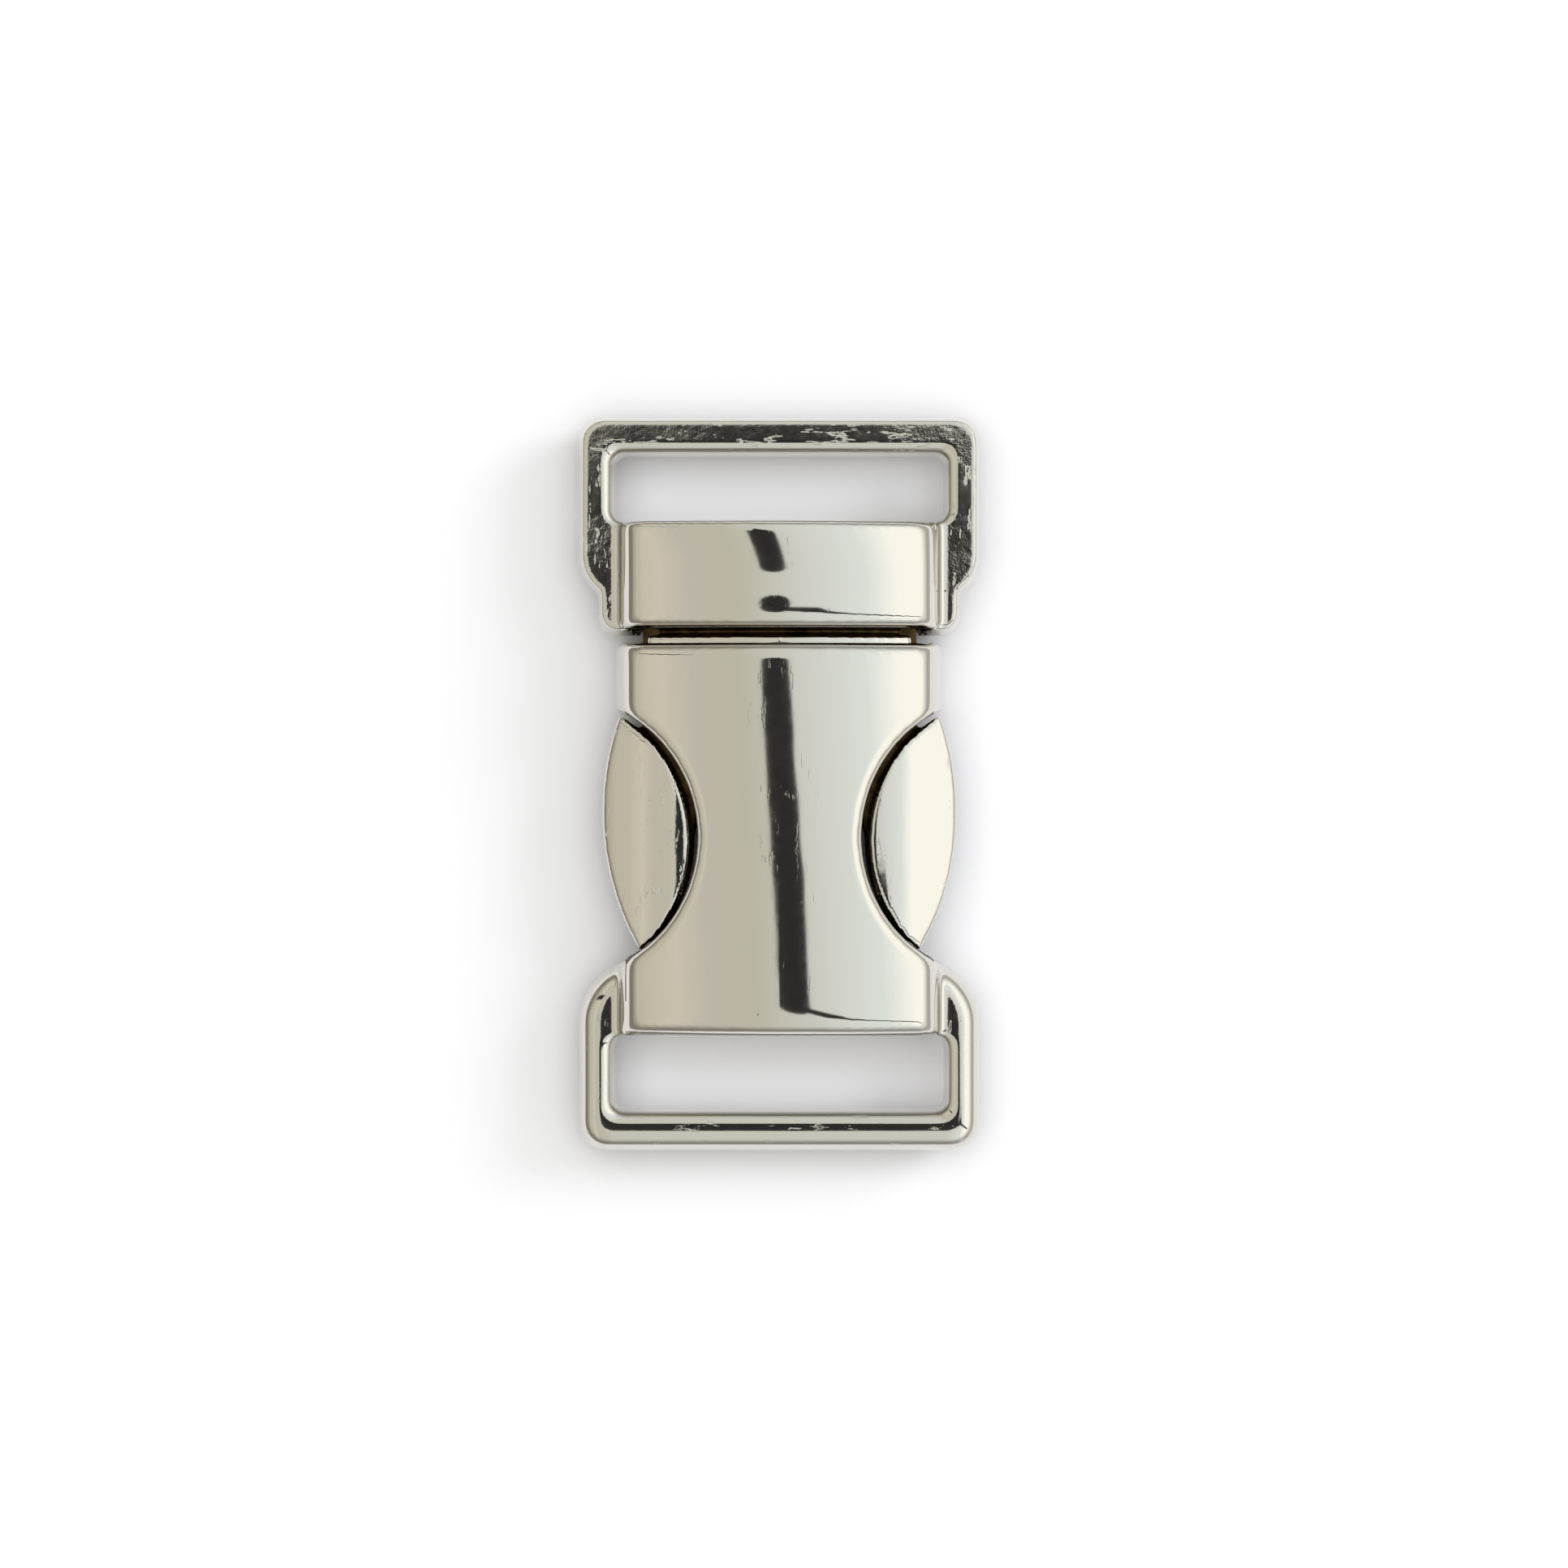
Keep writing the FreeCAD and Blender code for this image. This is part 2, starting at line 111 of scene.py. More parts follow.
def make_active(obj: Object) -> None:
    """Selects one object alone and makes it active.

    Args:
        obj: The object to work on.
    """
    deselect_all()
    obj.select_set(True)
    bpy.context.view_layer.objects.active = obj


def apply_place() -> None:
    """Moves the active object's place, turn and scale into its mesh."""
    bpy.ops.object.transform_apply(location=True, rotation=True, scale=True)


def apply_modifier(obj: Object, kind: str, **settings: object) -> None:
    """Gives an object a modifier and applies it.

    Args:
        obj: The object.
        kind: The modifier's type.
        settings: Its settings, by name.
    """
    modifier = obj.modifiers.new(kind.lower(), kind)
    for name, value in settings.items():
        setattr(modifier, name, value)
    make_active(obj)
    bpy.ops.object.modifier_apply(modifier=modifier.name)


def at_level(axis: int, level: float) -> Test:
    """A test that passes corners which all lie at one level along an axis."""
    return lambda corners: all(abs(corner[axis] - level) < SAME for corner in corners)


class Workpiece:
    """A solid on the bench, in millimetres, shaped with edit-mode operators and finished with modifiers."""

    def __init__(self, name: str) -> None:
        """Takes up the object that was just added.

        Args:
            name: The object's name from now on.
        """
        self.obj: Object = bpy.context.active_object
        self.obj.name = name
        apply_place()

    @classmethod
    def block(cls, name: str, low: Point, high: Point) -> "Workpiece":
        """Adds a block between two corners.

        Args:
            name: The block's name.
            low: Its lowest corner.
            high: Its highest corner.

        Returns:
            The new workpiece.
        """
        deselect_all()
        middle = [(a + b) / 2 for a, b in zip(low, high)]
        bpy.ops.mesh.primitive_cube_add(size=1, location=middle)
        bpy.context.active_object.scale = [b - a for a, b in zip(low, high)]
        return cls(name)

    @classmethod
    def rod(
        cls, name: str, radius: float, start: Point, length: float, along: Along, sides: int = 128
    ) -> "Workpiece":
        """Adds a round rod that runs the given length from its start, along one axis.

        Args:
            name: The rod's name.
            radius: Its radius.
            start: The middle of its first end.
            length: Its length.
            along: The axis it lies along.
            sides: How many flats its round side has.

        Returns:
            The new workpiece.
        """
        deselect_all()
        offset = Vector((0, 0, length / 2))
        offset.rotate(Euler(along.value))
        bpy.ops.mesh.primitive_cylinder_add(
            vertices=sides, radius=radius, depth=length, location=Vector(start) + offset, rotation=along.value
        )
        return cls(name)

    def select(self, wanted: Test, kind: str = "EDGE") -> None:
        """Enters edit mode with the edges, faces or corners selected that pass a test.

        Args:
            wanted: The test on their corners' places.
            kind: EDGE, FACE or VERT.
        """
        make_active(self.obj)
        bpy.ops.object.mode_set(mode="EDIT")
        bpy.ops.mesh.select_mode(type=kind)
        bpy.ops.mesh.select_all(action="DESELECT")
        mesh = bmesh.from_edit_mesh(self.obj.data)
        parts = {"EDGE": mesh.edges, "FACE": mesh.faces, "VERT": mesh.verts}[kind]
        for part in parts:
            if wanted([part.co] if kind == "VERT" else [v.co for v in part.verts]):
                part.select_set(True)
        mesh.select_flush_mode()
        bmesh.update_edit_mesh(self.obj.data)

    def select_all(self) -> None:
        """Enters edit mode with everything selected."""
        make_active(self.obj)
        bpy.ops.object.mode_set(mode="EDIT")
        bpy.ops.mesh.select_all(action="SELECT")

    def done(self) -> "Workpiece":
        """Goes back to object mode."""
        bpy.ops.object.mode_set(mode="OBJECT")
        return self

    def round_edges(self, radius: float, wanted: Test, steps: int = 5) -> "Workpiece":
        """Rounds the edges whose ends pass a test.

        Args:
            radius: The rounding's radius.
            wanted: The test on the ends' places.
            steps: How many flats the rounding has.

        Returns:
            The workpiece.
        """
        self.select(wanted)
        bpy.ops.mesh.bevel(
            offset_type="OFFSET", offset=radius, segments=steps, affect="EDGES", clamp_overlap=True
        )
        return self.done()

    def round_uprights(self, radius: float, places: Iterable[tuple[float, float]]) -> "Workpiece":
        """Rounds the upright edges at the given places, seen from the front.

        Args:
            radius: The rounding's radius.
            places: Where each upright edge stands, as x and y; x counts on both sides.

        Returns:
            The workpiece.
        """
        spots = list(places)

        def upright(corners: Iterable[Vector]) -> bool:
            a, b = corners
            if abs(a.x - b.x) > SAME or abs(a.y - b.y) > SAME:
                return False
            return any(abs(abs(a.x) - x) < 20 * SAME and abs(a.y - y) < 20 * SAME for x, y in spots)

        return self.round_edges(radius, upright, steps=8)

    def round_rim(self, radius: float, height: float) -> "Workpiece":
        """Rounds every edge that lies at one height."""
        return self.round_edges(radius, at_level(2, height), steps=6)

    def score(self, at: Point, normal: Point) -> "Workpiece":
        """Adds a loop of edges where a plane crosses the workpiece.

        Args:
            at: A point on the plane.
            normal: The plane's normal.

        Returns:
            The workpiece.
        """
        self.select_all()
        bpy.ops.mesh.bisect(plane_co=at, plane_no=Vector(normal).normalized())
        return self.done()

    def file_off(self, at: Point, normal: Point) -> "Workpiece":
        """Takes off what stands proud of a plane and closes the cut.

        Args:
            at: A point on the plane.
            normal: The plane's outward normal.

        Returns:
            The workpiece.
        """
        self.select_all()
        bpy.ops.mesh.bisect(
            plane_co=at, plane_no=Vector(normal).normalized(), use_fill=True, clear_outer=True
        )
        return self.done()

    def draw_in(self, height: float, inset: float, middle: tuple[float, float]) -> "Workpiece":
        """Moves the corners at one height in towards the middle, or out for a negative inset.

        Args:
            height: The corners' height.
            inset: How far the widest of them move, along X and along Y.
            middle: The point that they move towards.

        Returns:
            The workpiece.
        """
        at_height = [v.co.copy() for v in self.obj.data.vertices if abs(v.co.z - height) < SAME]
        reach = [max(abs(c[i] - middle[i]) for c in at_height) for i in (0, 1)]
        self.select(at_level(2, height), "VERT")
        bpy.ops.transform.resize(
            value=((reach[0] - inset) / reach[0], (reach[1] - inset) / reach[1], 1),
            center_override=(*middle, height),
        )
        return self.done()

    def stretch_end(self, y: float, move: float, widen: float = 1.0) -> "Workpiece":
        """Extrudes the end face that looks along +Y, and scales it across.

        Args:
            y: Where the end face lies.
            move: How far it goes.
            widen: How many times as wide it gets.

        Returns:
            The workpiece.
        """
        self.select(at_level(1, y), "FACE")
        bpy.ops.mesh.extrude_region_move(TRANSFORM_OT_translate={"value": (0, move, 0)})
        bpy.ops.transform.resize(value=(widen, 1, 1), center_override=(0, y + move, 0))
        return self.done()

    def combine(self, tool: "Workpiece", how: Join) -> "Workpiece":
        """Adds, cuts or intersects with another workpiece, which is used up.

        Args:
            tool: The other workpiece.
            how: What it does.

        Returns:
            The workpiece.
        """
        apply_modifier(self.obj, "BOOLEAN", operation=how.value, solver="EXACT", object=tool.obj)
        bpy.data.objects.remove(tool.obj)
        self.select_all()
        bpy.ops.mesh.remove_doubles(threshold=SAME / 10)
        return self.done()

    def add(self, tool: "Workpiece") -> "Workpiece":
        """Joins another workpiece on."""
        return self.combine(tool, Join.ADD)

    def cut(self, tool: "Workpiece") -> "Workpiece":
        """Cuts another workpiece's shape away."""
        return self.combine(tool, Join.CUT)

    def keep_common(self, tool: "Workpiece") -> "Workpiece":
        """Keeps only what lies inside both."""
        return self.combine(tool, Join.KEEP_COMMON)

    def mirrored(self, name: str) -> "Workpiece":
        """Copies the workpiece to the other side.

        Args:
            name: The copy's name.

        Returns:
            The mirrored copy.
        """
        make_active(self.obj)
        bpy.ops.object.duplicate()
        bpy.context.active_object.scale = (-1, 1, 1)
        copy = Workpiece(name)
        copy.select_all()
        bpy.ops.mesh.normals_make_consistent(inside=False)
        return copy.done()


@dataclass(frozen=True)
class Tumbling:
    """What casting and barrel tumbling leave: no sharp edge anywhere, and a faint waviness."""

    grain: float
    passes: int
    worn_passes: int
    wave_length: float = 4.5
    wave_height: float = 0.010

    def finish(self, piece: Workpiece, worn: Measure, settle: Measure | None = None) -> Object:
        """Evens out a workpiece's mesh, softens its edges, lets it settle and brings it to metres.

        Args:
            piece: The workpiece.
            worn: How strongly a point is worn round, from 0 to 1.
            settle: How far a point rises, in millimetres, as the casting cools; less than 0 if it sinks.

        Returns:
            The finished object, its place in its mesh.
        """
        obj = piece.obj
        apply_modifier(obj, "REMESH", mode="VOXEL", voxel_size=self.grain, use_smooth_shade=True)
        apply_modifier(obj, "SMOOTH", factor=0.5, iterations=self.passes)
        self._wear(obj, worn)
        if settle:
            for vertex in obj.data.vertices:
                vertex.co.z += settle(vertex.co)
        self._waves(obj)
        obj.scale = (MM, MM, MM)
        apply_place()
        bpy.ops.object.shade_smooth()
        return obj

    def _wear(self, obj: Object, worn: Measure) -> None:
        """Smooths the mesh further by how worn each point is."""
        group = obj.vertex_groups.new(name="worn")
        for vertex in obj.data.vertices:
            weight = worn(vertex.co)
            if weight > 0:
                group.add([vertex.index], weight, "REPLACE")
        apply_modifier(obj, "SMOOTH", factor=0.5, iterations=self.worn_passes, vertex_group=group.name)
        obj.vertex_groups.clear()

    def _waves(self, obj: Object) -> None:
        """Adds the faint waviness of a tumbled surface."""
        clouds = bpy.data.textures.new(obj.name + "_waves", "CLOUDS")
        clouds.noise_scale = self.wave_length
        clouds.noise_depth = 1
        apply_modifier(
            obj, "DISPLACE", texture=clouds, texture_coords="LOCAL", strength=self.wave_height, mid_level=0.5
        )
        bpy.data.textures.remove(clouds)


def ease(value: float, start: float, end: float) -> float:
    """Rises smoothly from 0 at start to 1 at end.

    Args:
        value: Where on the way.
        start: Where the rise starts.
        end: Where it ends.

    Returns:
        The height, from 0 to 1.
    """
    t = min(1.0, max(0.0, (value - start) / (end - start)))
    return t * t * (3 - 2 * t)


@dataclass(frozen=True)
class Section:
    """The arched cross-section that socket, band, neck and tunnel share."""

    half_width: float
    floor: float = 0.0
    crest: float = CREST
    radius: float = DOME_RADIUS
    draft: float = 0.0
    shoulder_round: float = 0.0
    corner_round: float = 0.0
    back_round: float = 0.0
    low_end_round: float = 0.0
    high_end_round: float = 0.0

    def bar(self, name: str, y0: float, y1: float) -> Workpiece:
        """Models a bar of this section.

        Args:
            name: The bar's name.
            y0: Its lower end.
            y1: Its upper end.

        Returns:
            The bar.
        """
        middle_y = (y0 + y1) / 2
        top = self.crest + 1
        bar = Workpiece.block(name, (-self.half_width, y0, self.floor), (self.half_width, y1, top))
        shoulder_x = self.half_width - self.draft
        shoulder_z = self.crest - self.radius + math.sqrt(self.radius**2 - shoulder_x**2)
        widest_z = (self.floor + shoulder_z) / 2
        if self.corner_round:
            bar.round_uprights(self.corner_round, [(self.half_width, y0), (self.half_width, y1)])
        if self.back_round:
            bar.round_rim(self.back_round, self.floor)
        if self.draft:
            self._taper(bar, widest_z, shoulder_z, top, middle_y)
        start, length = y0 + SAME, y1 - y0 - 2 * SAME
        dome = Workpiece.rod(
            name + "_dome", self.radius, (0, start, self.crest - self.radius), length, Along.Y, 720
        )
        for y, radius in ((start, self.low_end_round), (start + length, self.high_end_round)):
            if radius:
                dome.round_edges(radius, at_level(1, y), steps=10)
        bar.keep_common(dome)
        if self.shoulder_round:
            self._round_shoulders(bar, shoulder_x, shoulder_z, middle_y)
        return bar

    def _taper(self, bar: Workpiece, widest_z: float, shoulder_z: float, top: float, y: float) -> None:
        """Slopes a bar's sides inwards above its widest level."""
        bar.score((0, y, widest_z), (0, 0, 1))
        slope = self.draft / (shoulder_z - widest_z)
        reach = self.half_width
        bar.select(at_level(2, top), "VERT")
        narrower = (reach - slope * (top - widest_z)) / reach
        bpy.ops.transform.resize(value=(narrower, 1, 1), center_override=(0, y, top))
        bar.done()

    def _round_shoulders(self, bar: Workpiece, x: float, z: float, y: float) -> None:
        """Files the two long edges between dome and sides round, in five flats each."""
        lean = math.asin(x / self.radius)
        first = Vector((math.sin(lean), 0, math.cos(lean)))
        side = Vector((1, 0, 0))
        middle = Vector((x, y, z)) - (first + side) * (self.shoulder_round / (1 + first.dot(side)))
        for step in range(1, 6):
            angle = lean + (math.pi / 2 - lean) * step / 6
            normal = Vector((math.sin(angle), 0, math.cos(angle)))
            at = middle + normal * self.shoulder_round
            bar.file_off(tuple(at), tuple(normal))
            bar.file_off((-at.x, at.y, at.z), (-normal.x, 0, normal.z))


@dataclass(frozen=True)
class Rails:
    """A webbing frame's plate: its heights and edges."""

    bottom: float = 1.2
    top: float = 4.8
    draft: float = 0.3
    edge_round: float = 0.85
    rim_round: float = 0.6

    @property
    def parting(self) -> float:
        """The height of the parting plane."""
        return (self.bottom + self.top) / 2

    def draft_and_round(self, plate: Workpiece, middle_y: float) -> Workpiece:
        """Gives a plate its draft both ways from the parting plane, and rounds its rims.

        Args:
            plate: The plate, with straight sides.
            middle_y: The plate's middle.

        Returns:
            The plate.
        """
        plate.score((0, middle_y, self.parting), (0, 0, 1))
        for height in (self.top, self.bottom):
            plate.draw_in(height, self.draft, (0, middle_y))
            plate.round_rim(self.edge_round, height)
        return plate

    def slot(self, name: str, y0: float, y1: float, band_y: float) -> Workpiece:
        """Models the cut for a webbing slot, whose rims are rounded except along the domed band.

        Args:
            name: The cut's name.
            y0: The slot's lower side.
            y1: The slot's upper side.
            band_y: Which of those two sides the domed band stands on.

        Returns:
            The cut.
        """
        low, high = self.bottom - 3, self.top + 5
        cut = Workpiece.block(name, (-BODY_HALF, y0, low), (BODY_HALF, y1, high))
        cut.round_uprights(SLOT_CORNER, [(BODY_HALF, y0), (BODY_HALF, y1)])
        levels: list[tuple[float, float]] = [(self.parting, 0.0)]
        for angle in range(0, 91, 15):
            turn = math.radians(angle)
            down = self.rim_round * (1 - math.sin(turn))
            out = self.draft * 0.6 + self.rim_round * (1 - math.cos(turn))
            levels += [(self.top - down, out), (self.bottom + down, out)]
        for height, _ in levels:
            cut.score((0, band_y, height), (0, 0, 1))
        for height, out in (*levels[1:], (low, 5.0), (high, 5.0)):
            cut.draw_in(height, -out, (0, band_y))
        return cut


@dataclass(frozen=True)
class Window:
    """A finger window's arc in the socket's side."""

    x: float = 13.9
    y: float = -3.3
    radius: float = 8.8

    def low(self, x: float) -> float:
        """The lower end of the arc at x."""
        return self.y - math.sqrt(self.radius**2 - (self.x - x) ** 2)

    def high(self, x: float) -> float:
        """The upper end of the arc at x."""
        return self.y + math.sqrt(self.radius**2 - (self.x - x) ** 2)


WINDOW = Window()
BODY = Section(
    BODY_HALF,
    draft=0.4,
    shoulder_round=1.6,
    corner_round=0.5,
    back_round=0.4,
    low_end_round=0.9,
    high_end_round=0.8,
)
BAND = replace(BODY, corner_round=0.6, low_end_round=0.7, high_end_round=0.45)
TUNNEL = Section(BODY_HALF - WALL, WALL, CREST - WALL, DOME_RADIUS - WALL)


def on_dome(point: Vector) -> float:
    """How far a point is up on the dome, from 0 to 1."""
    return ease(point.z, 5.0, 6.2)


def on_shoulder(point: Vector) -> float:
    """How far a point is out on the dome's long shoulders, from 0 to 1."""
    return ease(abs(point.x), 8.4, 9.2) * ease(point.z, 5.2, 5.8)


@dataclass
class Socket:
    """The socket: domed hollow body, a window each side, and its webbing frame."""

    rails: Rails = Rails(edge_round=0.9)
    back_y: float = -15.7
    slot_low: float = -20.3
    tunnel_end: float = -11.0
    tip_room_half: float = 2.75
    tip_room_end: float = -12.85
    tip_room_top: float = 5.75
    foot_round: float = 1.7
    flare_inset: float = 0.7
    flare_drop: float = 2.5
    flare_round: float = 2.0
    lean: float = 0.0118  # the dome's slope across at its middle
    lean_loss: float = 0.00184  # how much less it leans for each millimetre towards the mouth
    dent: float = 0.010
    roll_start: float = -13.6
    roll_spread: float = 27.0
    shrinkage: float = 0.02
    tumbling: Tumbling = Tumbling(grain=0.16, passes=5, worn_passes=36)

    def build(self) -> Object:
        """Models the socket's casting.

        Returns:
            The finished casting.
        """
        casting = BODY.bar("socket_casting", self.back_y, MOUTH)
        for side in (-1, 1):
            start = (side * WINDOW.x, WINDOW.y, -2)
            casting.cut(Workpiece.rod("window", WINDOW.radius, start, CREST + 4, Along.Z, 256))
        casting.add(self._frame())
        casting.cut(TUNNEL.bar("tunnel", self.tunnel_end, MOUTH + 1))
        low = (-self.tip_room_half, self.tip_room_end, WALL)
        high = (self.tip_room_half, self.tunnel_end + 1, self.tip_room_top)
        casting.cut(Workpiece.block("tip_room", low, high))
        casting.cut(self.rails.slot("socket_slot", self.slot_low, self.back_y, self.back_y))
        return self.tumbling.finish(casting, self._worn, self._settle)

    def _worn(self, point: Vector) -> float:
        """The frame, the windows' edges and the dome's lower end are worn rounder than the rest."""
        beside = ease(abs(point.x), BODY_HALF + 0.6, BODY_HALF + 1.2) if point.y < -10.5 else 0.0
        below = ease(-point.y, -self.back_y, 0.4 - self.back_y)
        off_arc = abs(math.hypot(WINDOW.x - abs(point.x), WINDOW.y - point.y) - WINDOW.radius)
        window = (1 - ease(off_arc, 0.35, 0.75)) * ease(point.z, 5.0, 5.5)
        end = 0.5 * ease(-point.y, 14.6, 15.2) * ease(point.z, 6.0, 6.5)
        return max(on_shoulder(point), 0.25 * beside, 0.25 * below, window, end)

    def _settle(self, point: Vector) -> float:
        """The dome is twisted by a degree or two, is dented below its middle, and rolls off at its end."""
        twist = (self.lean - self.lean_loss * (point.y + 3.5)) * point.x
        dent = -self.dent * math.exp(-(((point.y + 6.0) / 1.4) ** 2) - ((point.x + 0.5) / 3.0) ** 2)
        past = max(0.0, self.roll_start - 0.7 * ease(point.x, 0.5, 5.0) - point.y)
        return on_dome(point) * (twist + dent - past**2 / self.roll_spread - self.shrinkage)

    def _frame(self) -> Workpiece:
        """Models the plate with its flared shoulders and rounded feet."""
        rails = self.rails
        flare_x = BODY_HALF - WALL - self.flare_inset
        flare_y = WINDOW.low(flare_x)
        plate = Workpiece.block(
            "socket_frame", (-FRAME_HALF, SOCKET_END, rails.bottom), (FRAME_HALF, flare_y, rails.top)
        )
        for side in (-1, 1):
            normal = (side * self.flare_drop, FRAME_HALF - flare_x, 0)
            plate.file_off((side * flare_x, flare_y, 0), normal)
        plate.round_uprights(self.flare_round, [(FRAME_HALF, flare_y - self.flare_drop)])
        plate.round_uprights(self.foot_round, [(FRAME_HALF, SOCKET_END)])
        return rails.draft_and_round(plate, (SOCKET_END + flare_y) / 2)


@dataclass
class Plug:
    """The plug: webbing frame, raised band, and the neck and tongue that enter the socket."""

    rails: Rails = Rails()
    shoulder_half: float = 11.37
    step_y: float = 11.9
    step_rise: float = 0.95
    step_round: float = 0.3
    side_round: float = 1.2
    foot_round: float = 1.1
    top_round: float = 1.4
    slot_low: float = 16.35
    slot_high: float = 20.5
    band_inset: float = 0.4
    neck_half: float = 8.2
    neck_length: float = 3.9
    root_low: float = 1.5
    root_high: float = 1.4
    groove_depth: float = 0.75
    tongue_half: float = 2.6
    tongue_rise: float = 2.1
    tongue_tip: float = -12.6
    tongue_round: float = 0.8
    arm_room_half: float = 8.6
    boss_room: float = 1.9
    pin_radius: float = 0.6
    pin_hole_top: float = 6.2
    pocket_low: float = 1.8
    pocket_high: float = 3.1
    twist_start: float = 12.5
    roll_start: float = 11.5
    roll_spread: float = 28.0
    tumbling: Tumbling = Tumbling(grain=0.15, passes=4, worn_passes=36)

    def build(self) -> Object:
        """Models the plug's casting.

        Returns:
            The finished casting.
        """
        casting = BAND.bar("plug_casting", PLUG_FACE + self.band_inset, self.slot_low)
        casting.add(self._frame())
        roof_drop = WALL + CLEARANCE
        neck = Section(self.neck_half, roof_drop, CREST - roof_drop, DOME_RADIUS - roof_drop)
        root = replace(neck, crest=CREST - roof_drop - self.groove_depth)
        casting.add(neck.bar("neck", PLUG_FACE - self.neck_length, PLUG_FACE - 0.05))
        casting.add(root.bar("neck_root", PLUG_FACE - self.root_low, PLUG_FACE + self.root_high))
        casting.add(self._tongue())
        room = ARM_HIGH - ARM_LOW + 2 * CLEARANCE
        depth = self.pocket_high - self.pocket_low
        for side in (-1, 1):
            casting.cut(self._arm_room(side))
            x, near = side * PIVOT_X, min(side * self.pocket_low, side * self.pocket_high)
            for name, radius, start, length, along, sides in (
                ("boss_room", self.boss_room, (x, PIVOT_Y, ARM_LOW - CLEARANCE), room, Along.Z, 128),
                ("pin_hole", self.pin_radius, (x, PIVOT_Y, -1), self.pin_hole_top + 1, Along.Z, 64),
                ("spring_hole", SPRING_ROOM, (near, SPRING_Y, ARM_MIDDLE), depth, Along.X, 64),
            ):
                casting.cut(Workpiece.rod(name, radius, start, length, along, sides))
        casting.cut(self.rails.slot("plug_slot", self.slot_low, self.slot_high, self.slot_low))
        return self.tumbling.finish(casting, self._worn, self._settle)

    def _worn(self, point: Vector) -> float:
        """The band's shoulders are worn rounder than the rest."""
        return on_shoulder(point)

    def _settle(self, point: Vector) -> float:
        """The band is twisted, a hair higher across its lower half, and rolls off to its lower edge."""
        on_band = on_dome(point) * ease(point.y, PLUG_FACE - 0.2, PLUG_FACE + 0.3)
        above = max(0.0, point.y - self.twist_start)
        twist = (-0.010 - 0.0028 * above * above) * point.x
        step = -0.01 - 0.075 * ease(point.y, self.roll_start, 13.3)
        roll = -(max(0.0, self.roll_start - point.y) ** 2) / self.roll_spread
        return on_band * (twist + step + roll)

    def _frame(self) -> Workpiece:
        """Models the plate: narrow shoulders, a slanted step out, and the frame."""
        rails = self.rails
        plate = Workpiece.block(
            "plug_frame_plate",
            (-self.shoulder_half, PLUG_FACE, rails.bottom),
            (self.shoulder_half, self.step_y, rails.top),
        )
        plate.stretch_end(self.step_y, self.step_rise, FRAME_HALF / self.shoulder_half)
        wide_y = self.step_y + self.step_rise
        plate.stretch_end(wide_y, PLUG_END - wide_y)
        for radius, x, y in (
            (self.step_round, self.shoulder_half, self.step_y),
            (self.side_round, FRAME_HALF, wide_y),
            (self.foot_round, self.shoulder_half, PLUG_FACE),
            (self.top_round, FRAME_HALF, PLUG_END),
        ):
            plate.round_uprights(radius, [(x, y)])
        return rails.draft_and_round(plate, (PLUG_FACE + PLUG_END) / 2)

    def _tongue(self) -> Workpiece:
        """Models the flat tongue with its rounded tip."""
        low = (-self.tongue_half, self.tongue_tip, ARM_MIDDLE - self.tongue_rise)
        high = (self.tongue_half, PLUG_FACE + 1, ARM_MIDDLE + self.tongue_rise)
        tongue = Workpiece.block("tongue", low, high)
        return tongue.round_uprights(self.tongue_round, [(self.tongue_half, self.tongue_tip)])

    def _arm_room(self, side: int) -> Workpiece:
        """Models the room for one arm's root."""
        x0, x1 = sorted((side * self.tongue_half, side * self.arm_room_half))
        low = (x0, PLUG_FACE - self.neck_length - 1, ARM_LOW - CLEARANCE)
        return Workpiece.block("arm_room", low, (x1, PIVOT_Y, ARM_HIGH + CLEARANCE))


